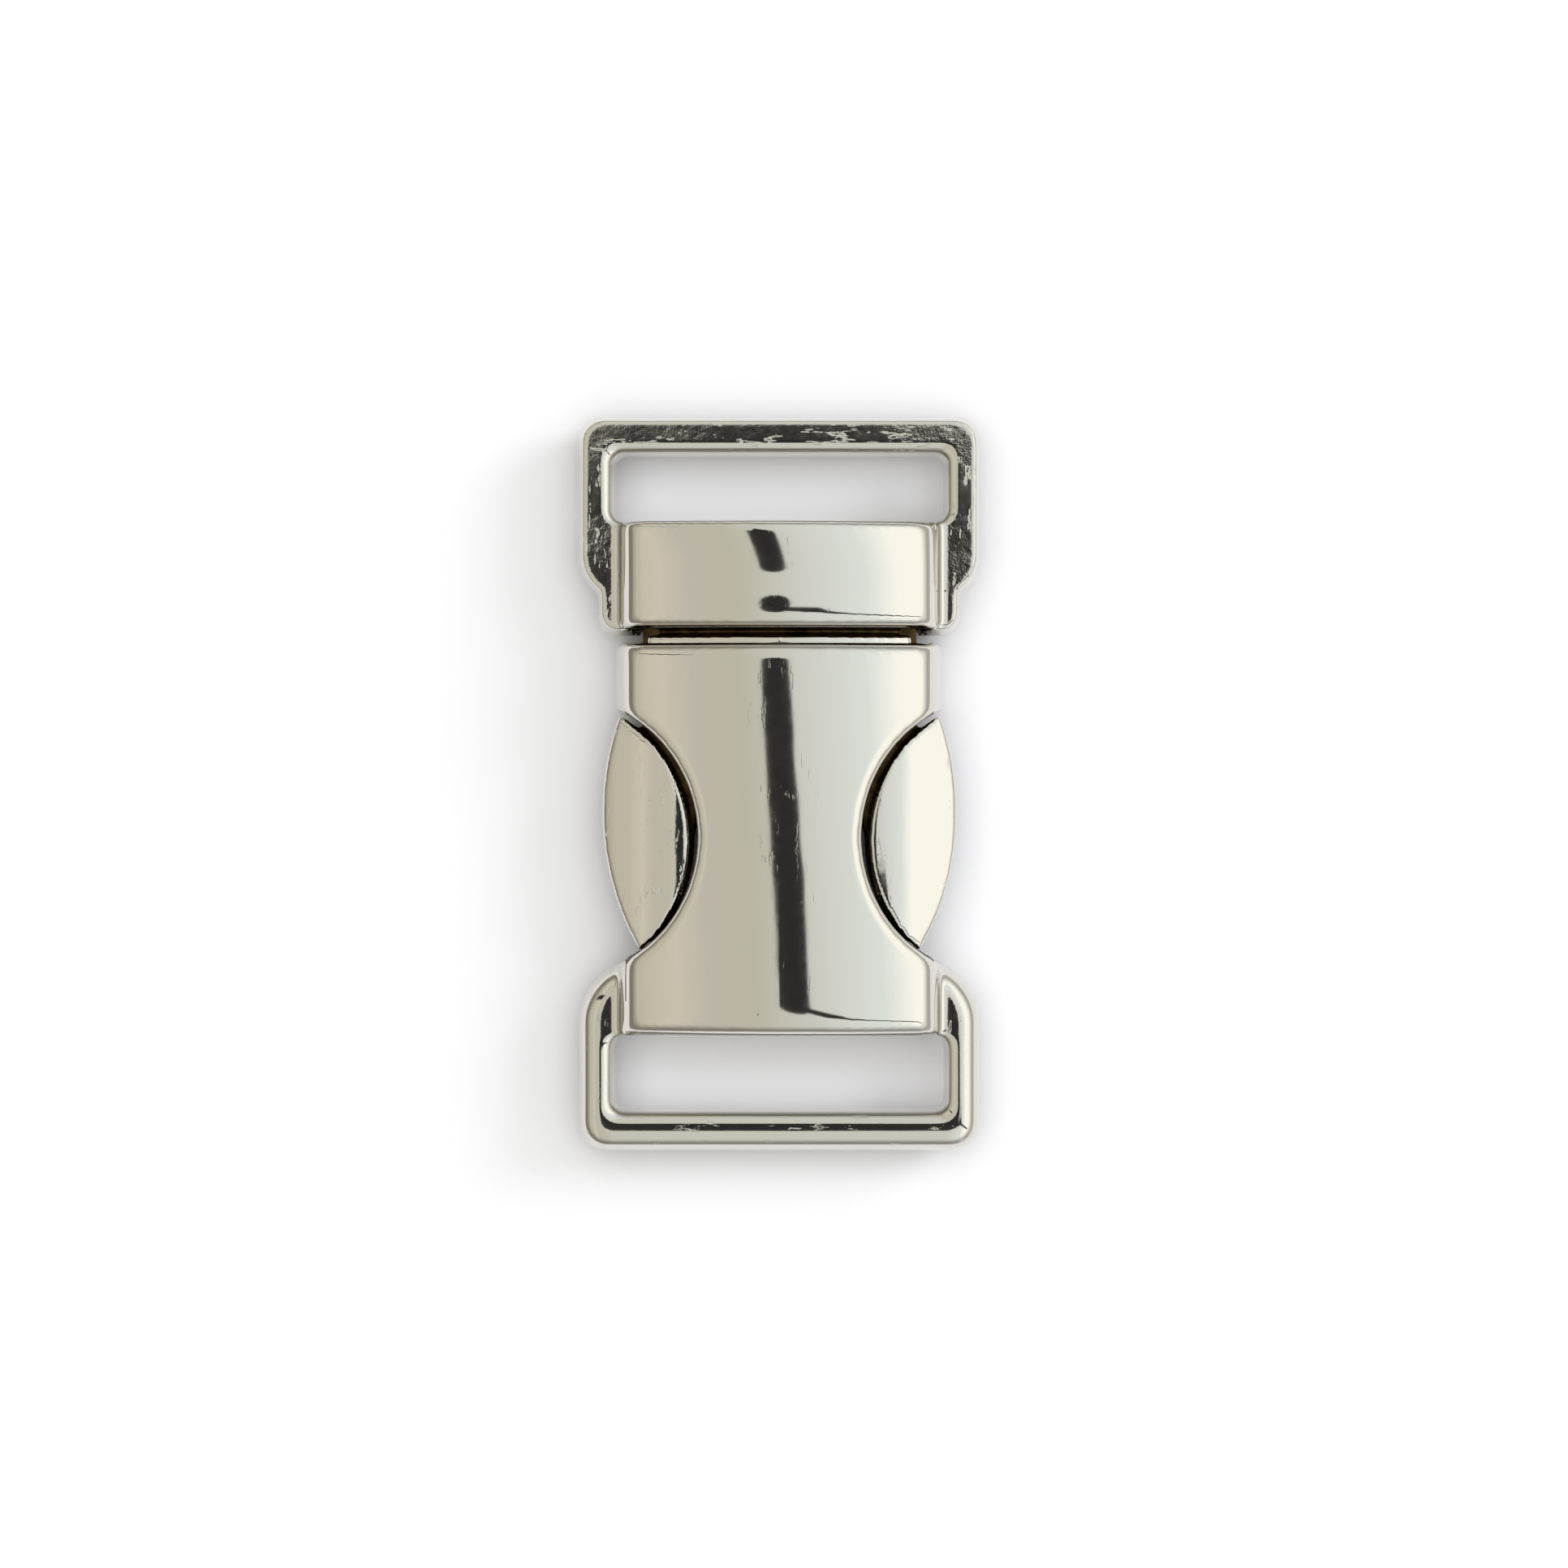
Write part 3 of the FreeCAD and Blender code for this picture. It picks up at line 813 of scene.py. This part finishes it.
@dataclass
class PressArm:
    """A latching arm: lever, pivot boss and domed finger pad."""

    outer_x: float = 8.55
    inner_x: float = 5.1
    bulge_x: float = 11.09
    bulge_y: float = -1.7
    bulge_radius: float = 17.1
    tip_x: float = 10.05
    foot_x: float = 8.75
    crown_x: float = 6.25
    crown_y: float = -2.8
    crown_z: float = 6.05
    crown_radius: float = 10.5
    crown_length: float = 3.6
    back_round: float = 0.45
    shelf_width: float = 0.25
    gap: float = 0.5
    tip_gap: float = 0.28
    boss_radius: float = 1.75
    bore: float = 0.64
    seat_depth: float = 1.2
    lean: float = 0.05
    tumbling: Tumbling = Tumbling(grain=0.11, passes=6, worn_passes=30, wave_length=3.0)

    def build(self) -> tuple[Object, Object]:
        """Models the right arm and its mirror image.

        Returns:
            The right arm and the left arm.
        """
        arm = self._pad().add(self._lever())
        arm.cut(Workpiece.rod("bore", self.bore, (PIVOT_X, PIVOT_Y, 0), CREST, Along.Z, 64))
        start = (self.inner_x - 0.5, SPRING_Y, ARM_MIDDLE)
        arm.cut(Workpiece.rod("spring_seat", SPRING_ROOM, start, self.seat_depth + 0.5, Along.X, 64))
        other = arm.mirrored("left_arm_casting")
        right = self.tumbling.finish(arm, self._worn, self._settle)
        return right, self.tumbling.finish(other, self._worn)

    def _settle(self, point: Vector) -> float:
        """The right pad leans outwards a little more than the left one."""
        return self.lean * (self.crown_x - point.x) * ease(point.z, ARM_HIGH, 5.6)

    def _worn(self, point: Vector) -> float:
        """The pad is worn round where a finger presses it."""
        outside = ease(abs(point.x), self.outer_x - 0.6, self.outer_x + 0.2)
        return outside * ease(-point.y, -5.0, -4.0)

    def _pad(self) -> Workpiece:
        """Models the finger pad: the lens between two arcs, domed like the tunnel that it enters."""
        tip = Vector((self.tip_x, WINDOW.high(self.tip_x) - self.tip_gap))
        foot = Vector((self.foot_x, WINDOW.low(self.foot_x)))
        inner = Vector((WINDOW.x - WINDOW.radius + self.gap, WINDOW.y))
        middle, radius = circle_through(tip, inner, foot)
        back = WALL + CLEARANCE
        start = (self.bulge_x - self.bulge_radius, self.bulge_y, back)
        pad = Workpiece.rod("right_arm_casting", self.bulge_radius, start, CREST, Along.Z, 512)
        pad.keep_common(
            Workpiece.rod("pad_inner", radius, (middle.x, middle.y, 0), CREST + 4, Along.Z, 384)
        )
        pad.round_rim(self.back_round, back)
        deselect_all()
        bpy.ops.mesh.primitive_uv_sphere_add(
            segments=256,
            ring_count=128,
            radius=self.crown_radius,
            location=(self.crown_x, self.crown_y, self.crown_z - self.crown_radius),
        )
        bpy.context.active_object.scale = (1, self.crown_length, 1)
        pad.keep_common(Workpiece("pad_crown"))
        start = (middle.x, middle.y, ARM_LOW)
        shelf = Workpiece.rod("shelf", radius + self.shelf_width, start, ARM_HIGH - ARM_LOW, Along.Z, 384)
        shelf.keep_common(Workpiece.block("shelf_ends", (5.3, -9.8, 0), (8.9, 3.5, CREST)))
        return pad.add(shelf)

    def _lever(self) -> Workpiece:
        """Models the lever from the pivot's boss to the pad."""
        foot_y = WINDOW.low(self.foot_x)
        low = (self.inner_x, foot_y + 0.6, ARM_LOW)
        lever = Workpiece.block("lever", low, (self.outer_x, PIVOT_Y, ARM_HIGH))
        lever.file_off((self.inner_x, SPRING_Y - 1.5, 0), (-4.0, -1.0, 0))
        lever.file_off((self.foot_x - 0.45, foot_y + 0.7, 0), (-4.0, -3.0, 0))
        lever.file_off((PIVOT_X + 0.4, PIVOT_Y - 0.5, 0), (0.55, 1, 0))
        start = (PIVOT_X, PIVOT_Y, ARM_LOW)
        return lever.add(Workpiece.rod("boss", self.boss_radius, start, ARM_HIGH - ARM_LOW, Along.Z))


@dataclass
class Spring:
    """A coil spring between the tongue and one arm."""

    wire_radius: float = 0.17
    turns: int = 5
    wire_sides: int = 14
    steps_in_turn: int = 40

    def build(self) -> list[Object]:
        """Models both springs.

        Returns:
            The right spring and the left spring.
        """
        low, high = (Vector(corner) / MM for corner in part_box("right_spring"))
        middle = (low + high) / 2
        coil_radius = (high.z - low.z) / 2 - self.wire_radius
        length = high.x - low.x - 2 * self.wire_radius
        deselect_all()
        bpy.ops.mesh.primitive_circle_add(
            vertices=self.wire_sides,
            radius=self.wire_radius,
            location=(coil_radius, 0, 0),
            rotation=(math.pi / 2, 0, 0),
        )
        spring = Workpiece("right_spring_coil")
        apply_modifier(
            spring.obj,
            "SCREW",
            axis="Z",
            angle=2 * math.pi,
            screw_offset=length / self.turns,
            iterations=self.turns,
            steps=self.steps_in_turn,
            render_steps=self.steps_in_turn,
        )
        spring.obj.rotation_euler = (0, math.pi / 2, 0)
        spring.obj.location = (low.x + self.wire_radius, middle.y, middle.z)
        apply_place()
        bpy.ops.object.mode_set(mode="EDIT")
        bpy.ops.mesh.select_all(action="DESELECT")
        bpy.ops.mesh.select_non_manifold()
        bpy.ops.mesh.edge_face_add()
        bpy.ops.mesh.select_all(action="SELECT")
        bpy.ops.mesh.normals_make_consistent(inside=False)
        spring.done()
        other = spring.mirrored("left_spring_coil")
        for coil in (spring, other):
            make_active(coil.obj)
            coil.obj.scale = (MM, MM, MM)
            apply_place()
            bpy.ops.object.shade_smooth_by_angle(angle=math.radians(50))
        return [spring.obj, other.obj]


def circle_through(a: Vector, b: Vector, c: Vector) -> tuple[Vector, float]:
    """The circle through three points.

    Args:
        a: The first point.
        b: The second point.
        c: The third point.

    Returns:
        Its middle and its radius.
    """
    d = 2 * (a.x * (b.y - c.y) + b.x * (c.y - a.y) + c.x * (a.y - b.y))
    squares = [p.length_squared for p in (a, b, c)]
    x = (squares[0] * (b.y - c.y) + squares[1] * (c.y - a.y) + squares[2] * (a.y - b.y)) / d
    y = (squares[0] * (c.x - b.x) + squares[1] * (a.x - c.x) + squares[2] * (b.x - a.x)) / d
    middle = Vector((x, y))
    return middle, (a - middle).length


def linear(hex_colour: str) -> tuple[float, float, float, float]:
    """Turns an sRGB hex colour, such as "C8C2B4", to linear red, green, blue and an alpha of 1."""
    channels = [int(hex_colour[i : i + 2], 16) / 255 for i in (0, 2, 4)]
    return (*((c / 12.92 if c <= 0.04045 else ((c + 0.055) / 1.055) ** 2.4) for c in channels), 1.0)


def add_node(tree: NodeTree, kind: str, settings: dict | None = None, links: dict | None = None) -> Node:
    """Adds a node with its settings and the links into it.

    Args:
        tree: The node tree.
        kind: The shader node's type.
        settings: Values by attribute name, or by input name or number.
        links: Output sockets by the name or number of the input that each goes to.

    Returns:
        The new node.
    """
    node = tree.nodes.new("ShaderNode" + kind)
    for key, value in (settings or {}).items():
        if isinstance(key, str) and hasattr(node, key):
            setattr(node, key, value)
        else:
            node.inputs[key].default_value = value
    for key, socket in (links or {}).items():
        tree.links.new(socket, node.inputs[key])
    return node


def multiply(tree: NodeTree, factors: list[NodeSocket]) -> NodeSocket:
    """Multiplies several values, one node for each after the first."""
    product = factors[0]
    for factor in factors[1:]:
        links = {0: product, 1: factor}
        product = add_node(tree, "Math", {"operation": "MULTIPLY"}, links).outputs["Value"]
    return product


def sine(degrees: float) -> float:
    """The sine of an angle in degrees."""
    return math.sin(math.radians(degrees))


def new_material(name: str) -> tuple[Material, NodeTree, Node]:
    """Starts a material.

    Args:
        name: Its name.

    Returns:
        The material, its node tree and its Principled node.
    """
    material = bpy.data.materials.new(name)
    material.use_nodes = True
    tree = material.node_tree
    return material, tree, tree.nodes["Principled BSDF"]


@dataclass(frozen=True)
class BrightNickel:
    """Bright nickel plate over tumbled zinc: a faintly warm mirror, with pits, rub marks and a soft ripple.

    The domes are smooth, and the frames' flat faces keep the coarse rub marks of the tumbling barrel.
    """

    name: str = "bright_nickel_on_tumbled_zinc"
    colour: str = "DAD7D0"
    roughness: float = 0.05
    ripple_mm: float = 0.55  # orange peel of the cast skin under the plate
    gouge_mm: float = 0.42  # width of a rub mark, drawn coarser than the finest real ones
    gouge_stretch: float = 0.22
    dome_marks: float = 0.035
    flat_marks: float = 0.55
    socket_share: float = 0.4
    patch_mm: float = 3.5  # size of the patches that are rubbed more or less
    pit_mm: float = 1.3  # distance between the cells that may hold a pit
    pit_colour: str = "3B3022"

    def build(self) -> Material:
        """Makes the material.

        Returns:
            The material.
        """
        material, tree, shader = new_material(self.name)
        shader.inputs["Metallic"].default_value = 1.0
        place = add_node(tree, "TexCoord").outputs["Object"]
        parts = add_node(tree, "SeparateXYZ", None, {"Vector": place})
        pits = self._pits(tree, place)
        colours = {6: linear(self.colour), 7: linear(self.pit_colour)}
        colour = add_node(tree, "Mix", {"data_type": "RGBA", **colours}, {0: pits})
        marks = self._marks(tree, place, parts)
        grain = {"Scale": 1 / (self.ripple_mm * MM), "Detail": 4.0, "Roughness": 0.62}
        ripple = add_node(tree, "TexNoise", grain, {"Vector": place}).outputs["Fac"]
        gouges = self._gouges(tree, place, parts)
        normal = None
        for depth_mm, inward, height, strength in (
            (0.006, False, ripple, marks), (0.02, True, gouges, marks), (0.05, True, pits, None)
        ):
            links = {"Height": height, "Strength": strength, "Normal": normal}
            bump = add_node(
                tree,
                "Bump",
                {"Strength": 0.9, "Distance": depth_mm * MM, "invert": inward},
                {name: socket for name, socket in links.items() if socket},
            )
            normal = bump.outputs["Normal"]
        rough = add_node(
            tree,
            "MapRange",
            {"To Min": self.roughness * 0.6, "To Max": self.roughness * 1.6},
            {"Value": ripple},
        )
        tree.links.new(colour.outputs[2], shader.inputs["Base Color"])
        tree.links.new(rough.outputs["Result"], shader.inputs["Roughness"])
        tree.links.new(normal, shader.inputs["Normal"])
        return material

    def _marks(self, tree: NodeTree, place: NodeSocket, parts: Node) -> NodeSocket:
        """Says how strong the rub marks are: strong on the flats, patchy, and weaker on the socket."""
        patches = add_node(
            tree, "TexNoise", {"Scale": 1 / (self.patch_mm * MM), "Detail": 1.0}, {"Vector": place}
        )
        shares = [
            add_node(
                tree,
                "MapRange",
                {"From Min": low, "From Max": high, "To Min": least, "To Max": most},
                {"Value": value},
            ).outputs["Result"]
            for value, low, high, least, most in (
                (parts.outputs["Z"], 5.3 * MM, 4.95 * MM, self.dome_marks, self.flat_marks),
                (patches.outputs["Fac"], 0.4, 0.65, 0.35, 1.8),
                (parts.outputs["Y"], -11 * MM, -9 * MM, self.socket_share, 1.0),
            )
        ]
        return multiply(tree, shares)

    def _gouges(self, tree: NodeTree, place: NodeSocket, parts: Node) -> NodeSocket:
        """Draws shallow steep-sided rub marks: along X on the end bars, and along Y elsewhere."""
        heights = []
        grain = {"Scale": 1 / (self.gouge_mm * MM), "Detail": 4.0, "Roughness": 0.65}
        for stretch in ((1.0, self.gouge_stretch, 1.0), (self.gouge_stretch, 1.0, 1.0)):
            mapped = add_node(tree, "Mapping", {"Scale": stretch}, {"Vector": place})
            lines = add_node(tree, "TexNoise", grain, {"Vector": mapped.outputs["Vector"]})
            heights.append(lines.outputs["Fac"])
        reach = add_node(tree, "Math", {"operation": "ABSOLUTE"}, {0: parts.outputs["Y"]})
        end_bar = add_node(
            tree,
            "MapRange",
            {"From Min": 20.2 * MM, "From Max": 20.8 * MM},
            {"Value": reach.outputs["Value"]},
        )
        links = {0: end_bar.outputs["Result"], 2: heights[0], 3: heights[1]}
        chosen = add_node(tree, "Mix", None, links)
        steep = add_node(
            tree, "MapRange", {"From Min": 0.60, "From Max": 0.66}, {"Value": chosen.outputs[0]}
        )
        return steep.outputs["Result"]

    def _pits(self, tree: NodeTree, place: NodeSocket) -> NodeSocket:
        """Scatters small casting pits, most of them under a tenth of a millimetre."""
        cells = add_node(tree, "TexVoronoi", {"Scale": 1 / (self.pit_mm * MM)}, {"Vector": place})
        chance = add_node(tree, "SeparateColor", None, {"Color": cells.outputs["Color"]})
        size = add_node(
            tree,
            "MapRange",
            {"From Min": 0.88, "From Max": 1.0, "To Min": 0.01, "To Max": 0.08},
            {"Value": chance.outputs["Red"]},
        )
        links = {0: cells.outputs["Distance"], 1: size.outputs["Result"]}
        return add_node(tree, "Math", {"operation": "LESS_THAN"}, links).outputs["Value"]


@dataclass(frozen=True)
class RecessPlateAndShade:
    """Plate in a deep recess, where little nickel reaches: dull and brown from the copper under it, and
    painted darker still as the shade that falls in the recess.
    """

    name: str = "thin_plate_and_painted_shade_in_recess"
    # Both colours below are the thin plate's own dull brown, darkened further as painted shade of the recess.
    colour: str = "6B5738"
    stain_and_shade_colour: str = "3A2E1E"
    roughness: float = 0.42
    stain_mm: float = 0.8  # size of a stain

    def build(self) -> Material:
        """Makes the material.

        Returns:
            The material.
        """
        material, tree, shader = new_material(self.name)
        shader.inputs["Metallic"].default_value = 1.0
        place = add_node(tree, "TexCoord").outputs["Object"]
        stain = add_node(
            tree, "TexNoise", {"Scale": 1 / (self.stain_mm * MM), "Detail": 3.0}, {"Vector": place}
        )
        ramp = add_node(tree, "ValToRGB", None, {"Fac": stain.outputs["Fac"]})
        stops = ramp.color_ramp.elements
        stops[0].position, stops[0].color = 0.35, linear(self.stain_and_shade_colour)
        stops[1].position, stops[1].color = 0.7, linear(self.colour)
        rough = add_node(
            tree,
            "MapRange",
            {"To Min": self.roughness * 0.8, "To Max": self.roughness * 1.2},
            {"Value": stain.outputs["Fac"]},
        )
        tree.links.new(ramp.outputs["Color"], shader.inputs["Base Color"])
        tree.links.new(rough.outputs["Result"], shader.inputs["Roughness"])
        return material


@dataclass(frozen=True)
class DrawnSteel:
    """Drawn steel wire and rod: grey, with fine uneven drawing marks."""

    name: str
    colour: str
    roughness: float
    line_mm: float = 0.06  # distance between marks, drawn coarser than real ones so that they show

    def build(self) -> Material:
        """Makes the material.

        Returns:
            The material.
        """
        material, tree, shader = new_material(self.name)
        shader.inputs["Base Color"].default_value = linear(self.colour)
        shader.inputs["Metallic"].default_value = 1.0
        place = add_node(tree, "TexCoord").outputs["Object"]
        lines = add_node(
            tree, "TexNoise", {"Scale": 1 / (self.line_mm * MM), "Detail": 2.0}, {"Vector": place}
        )
        rough = add_node(
            tree,
            "MapRange",
            {"To Min": self.roughness * 0.8, "To Max": self.roughness * 1.3},
            {"Value": lines.outputs["Fac"]},
        )
        bump = add_node(
            tree, "Bump", {"Strength": 0.3, "Distance": 0.002 * MM}, {"Height": lines.outputs["Fac"]}
        )
        tree.links.new(rough.outputs["Result"], shader.inputs["Roughness"])
        tree.links.new(bump.outputs["Normal"], shader.inputs["Normal"])
        return material


Stops = tuple[tuple[float, str], ...]


@dataclass
class Studio:
    """A pale table under a soft surround, with the camera straight above."""

    view_width: float = 0.09807
    lens: float = 150.0
    sensor: float = 36.0
    focus_height: float = 0.004
    offset_x: float = 0.00028
    head_deg: float = 3.5
    head_blur_deg: float = 0.15
    head_stretch: float = 1.6
    head_centre_deg: float = 1.3
    boom_turn_deg: float = -27.0
    boom_half_deg: float = 1.4
    boom_behind_deg: float = 7.5
    root_extra_deg: float = 2.4
    rig_colour: str = "2A2929"
    strength: float = 1.35
    table_size: float = 3.0
    table_colour: str = "CFCFD3"
    lamps: tuple[tuple[str, Point, float, float], ...] = (
        ("key_light", (0.8, 0.35, 0.55), 0.5, 5.0), ("fill_light", (-0.1, 0.1, 1.4), 1.6, 17.5)
    )
    left_to_right: Stops = (
        (0.0, "BFBCAD"),
        (0.125, "CCC9BA"),
        (0.22, "BFBCB3"),
        (0.38, "BEBCAF"),
        (0.56, "CFD1CD"),
        (0.68, "D8DCDB"),
        (0.80, "DEE6E5"),
        (0.90, "FFFFFA"),
        (1.0, "FFFFF8"),
    )
    floor_to_ceiling: Stops = (
        (0.0, "B9B7B6"),
        (0.12, "ACA9AA"),
        (0.30, "ABA8A9"),
        (0.52, "E0DEDC"),
        (0.70, "FFFFFF"),
        (1.0, "FFFFFF"),
    )

    def build(self) -> None:
        """Sets up the table, the surround, the lamps and the camera."""
        self._table()
        self._surround()
        self._lamps()
        self._camera()

    def _table(self) -> None:
        """Lays the pale table top."""
        deselect_all()
        bpy.ops.mesh.primitive_plane_add(size=self.table_size, location=(0, 0, 0))
        table = bpy.context.active_object
        table.name = "table_top"
        material, _, shader = new_material("white_card")
        shader.inputs["Base Color"].default_value = linear(self.table_colour)
        shader.inputs["Roughness"].default_value = 0.85
        table.data.materials.append(material)

    def _surround(self) -> None:
        """Paints the soft surround: warmer and darker to the left, cooler and brighter to the right."""
        world = bpy.data.worlds.new("soft_surround")
        bpy.context.scene.world = world
        world.use_nodes = True
        tree = world.node_tree
        background = tree.nodes["Background"]
        direction = add_node(tree, "TexCoord").outputs["Generated"]
        parts = add_node(tree, "SeparateXYZ", None, {"Vector": direction})
        across = add_node(
            tree, "MapRange", {"From Min": -0.6, "From Max": 0.6}, {"Value": parts.outputs["X"]}
        )
        shades = []
        for value, stops in (
            (across.outputs["Result"], self.left_to_right), (parts.outputs["Z"], self.floor_to_ceiling)
        ):
            ramp = add_node(tree, "ValToRGB", None, {"Fac": value})
            marks = ramp.color_ramp.elements
            marks[0].color, marks[1].color = linear(stops[0][1]), linear(stops[-1][1])
            for position, colour in stops[1:-1]:
                marks.new(position).color = linear(colour)
            shades.append(ramp.outputs["Color"])
        room = add_node(
            tree,
            "Mix",
            {"data_type": "RGBA", "blend_type": "MULTIPLY", 0: 1.0},
            {6: shades[0], 7: shades[1]},
        )
        dark = self._rig(tree, direction, parts)
        settings = {"data_type": "RGBA", 7: linear(self.rig_colour)}
        mixed = add_node(tree, "Mix", settings, {0: dark, 6: room.outputs[2]})
        tree.links.new(mixed.outputs[2], background.inputs["Color"])
        background.inputs["Strength"].default_value = self.strength

    def _rig(self, tree: NodeTree, direction: NodeSocket, parts: Node) -> NodeSocket:
        """Masks the dark rig overhead: its head, and the boom that carries it, wider near the head."""
        turn = math.radians(self.boom_turn_deg)
        across, along = (
            add_node(
                tree, "VectorMath", {"operation": "DOT_PRODUCT", 1: axis}, {0: direction}
            ).outputs["Value"]
            for axis in ((-math.sin(turn), math.cos(turn), 0), (math.cos(turn), math.sin(turn), 0))
        )
        off, front, behind = (
            add_node(tree, "Math", settings, {0: value}).outputs["Value"]
            for settings, value in (
                ({"operation": "ABSOLUTE"}, across),
                ({"operation": "MULTIPLY", 1: -1.0}, parts.outputs["Y"]),
                ({"operation": "SUBTRACT", 1: sine(self.boom_behind_deg)}, parts.outputs["Y"]),
            )
        )
        tilt = add_node(tree, "Math", {"operation": "MAXIMUM"}, {0: front, 1: behind})
        root, ahead, reach, start = (
            add_node(
                tree, "MapRange", {"From Min": low, "From Max": high}, {"Value": value}
            ).outputs["Result"]
            for value, low, high in (
                (along, sine(13), sine(4)),
                (along, 0.0, sine(2)),
                (parts.outputs["Z"], 0.6, 0.7),
                (tilt.outputs["Value"], sine(2.7), sine(3.3)),
            )
        )
        slack = add_node(
            tree,
            "Math",
            {"operation": "MULTIPLY_ADD", 1: -sine(self.root_extra_deg)},
            {0: multiply(tree, [root, ahead]), 2: off},
        )
        half = sine(self.boom_half_deg)
        width = add_node(
            tree,
            "MapRange",
            {"From Min": half * 1.1, "From Max": half * 0.9},
            {"Value": slack.outputs["Value"]},
        )
        boom = multiply(tree, [width.outputs["Result"], reach, start])
        links = {0: self._head(tree, direction), 1: boom}
        return add_node(tree, "Math", {"operation": "MAXIMUM"}, links).outputs["Value"]

    def _head(self, tree: NodeTree, direction: NodeSocket) -> NodeSocket:
        """Masks the rig's oval head, almost straight above."""
        shift = sine(self.head_centre_deg) / self.head_stretch
        squeeze = add_node(
            tree,
            "Mapping",
            {"Location": (0, shift, 0), "Scale": (1, 1 / self.head_stretch, 1)},
            {"Vector": direction},
        )
        links = {0: squeeze.outputs["Vector"]}
        squeezed = add_node(tree, "VectorMath", {"operation": "NORMALIZE"}, links)
        upward = add_node(tree, "SeparateXYZ", None, {"Vector": squeezed.outputs["Vector"]})
        outer, inner = self.head_deg + self.head_blur_deg, self.head_deg - self.head_blur_deg
        head = add_node(
            tree,
            "MapRange",
            {"From Min": math.cos(math.radians(outer)), "From Max": math.cos(math.radians(inner))},
            {"Value": upward.outputs["Z"]},
        )
        return head.outputs["Result"]

    def _lamps(self) -> None:
        """Hangs a soft key light and a wide fill light, which the metal doesn't mirror."""
        for name, place, size, power in self.lamps:
            data = bpy.data.lights.new(name, "AREA")
            data.shape = "DISK"
            data.size = size
            data.energy = power
            lamp = bpy.data.objects.new(name, data)
            lamp.location = place
            lamp.rotation_euler = (-Vector(place)).to_track_quat("-Z", "Y").to_euler()
            lamp.visible_glossy = False
            bpy.context.scene.collection.objects.link(lamp)

    def _camera(self) -> None:
        """Places the camera straight above the buckle."""
        data = bpy.data.cameras.new("camera")
        data.lens = self.lens
        data.sensor_width = self.sensor
        data.clip_start = 0.001
        camera = bpy.data.objects.new("camera", data)
        distance = self.view_width * self.lens / self.sensor
        camera.location = (self.offset_x, 0.0, self.focus_height + distance)
        bpy.context.scene.collection.objects.link(camera)
        bpy.context.scene.camera = camera
        bpy.context.scene.view_settings.view_transform = "Standard"


def dress(
    obj: Object,
    material: Material,
    inner: Material | None = None,
    is_inner: Callable[[Vector], bool] | None = None,
) -> None:
    """Gives an object its material, and another one, darkened as painted shade, where it is hidden inside.

    Args:
        obj: The object.
        material: Its material.
        inner: The material inside, partly painted shade.
        is_inner: The test, in millimetres, of what counts as inside and gets that painted shade.
    """
    obj.data.materials.clear()
    obj.data.materials.append(material)
    if inner and is_inner:
        obj.data.materials.append(inner)
        for face in obj.data.polygons:
            face.material_index = int(is_inner(face.center / MM))


def in_tunnel(point: Vector) -> bool:
    """Whether a point of the socket lies inside the tunnel's walls, where painted shade goes."""
    under_roof = math.hypot(point.x, point.z - CREST + DOME_RADIUS) < DOME_RADIUS - WALL * 0.55
    between = abs(point.x) < BODY_HALF - WALL * 0.6 and -13.5 < point.y < MOUTH - 0.4
    return under_roof and between and point.z > 0.5


def under_band(point: Vector) -> bool:
    """Whether a point of the plug lies in the groove under the band's lower edge, where painted shade goes.
    """
    return 9.22 < point.y < 9.74 and 4.85 < point.z < 7.0


def on_shelf(point: Vector) -> bool:
    """Whether a point of an arm lies on the lever or the shelf under the window's gap, where painted shade
    goes.
    """
    return point.z < 4.98 and abs(point.x) < 8.95


def report(obj: Object) -> None:
    """Logs a finished piece's size and face count."""
    size = [round(d / MM, 2) for d in obj.dimensions]
    LOG.info("%s: %s faces, %s mm", obj.name, len(obj.data.polygons), size)


def main() -> None:
    """Builds the buckle's visible pieces, dresses them, and sets up the studio."""
    nickel = BrightNickel().build()
    rubbed_nickel = BrightNickel("rubbed_bright_nickel", dome_marks=0.35).build()
    pin_steel = DrawnSteel("drawn_steel_pin", "A9A8A4", 0.28).build()
    spring_steel = DrawnSteel("spring_wire", "8C8E90", 0.32).build()
    socket = Socket().build()
    plug = Plug().build()
    right_arm, left_arm = PressArm().build()
    # The recess plate is the thin plate's own brown with painted shade of the recesses on top.
    recess = RecessPlateAndShade().build()
    for obj, body, node, plate, is_inner in (
        (socket, "socket_half", "socket_body", nickel, in_tunnel),
        (plug, "plug_half", "plug_frame", nickel, under_band),
        (right_arm, "right_press_arm", "right_arm", nickel, on_shelf),
        (left_arm, "left_press_arm", "left_arm", rubbed_nickel, on_shelf),
    ):
        dress(obj, plate, recess, is_inner)
        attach(obj, body)
        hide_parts(node)
        report(obj)
    springs = Spring()
    for coil, side, name in zip(springs.build(), (1, -1), ("right", "left")):
        dress(coil, spring_steel)
        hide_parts(name + "_spring")
        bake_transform(coil)
        report(coil)
    for name in ("left_pivot_pin", "right_pivot_pin"):
        dress(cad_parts[name], pin_steel)
    Studio().build()


if __name__ == "__main__":
    main()
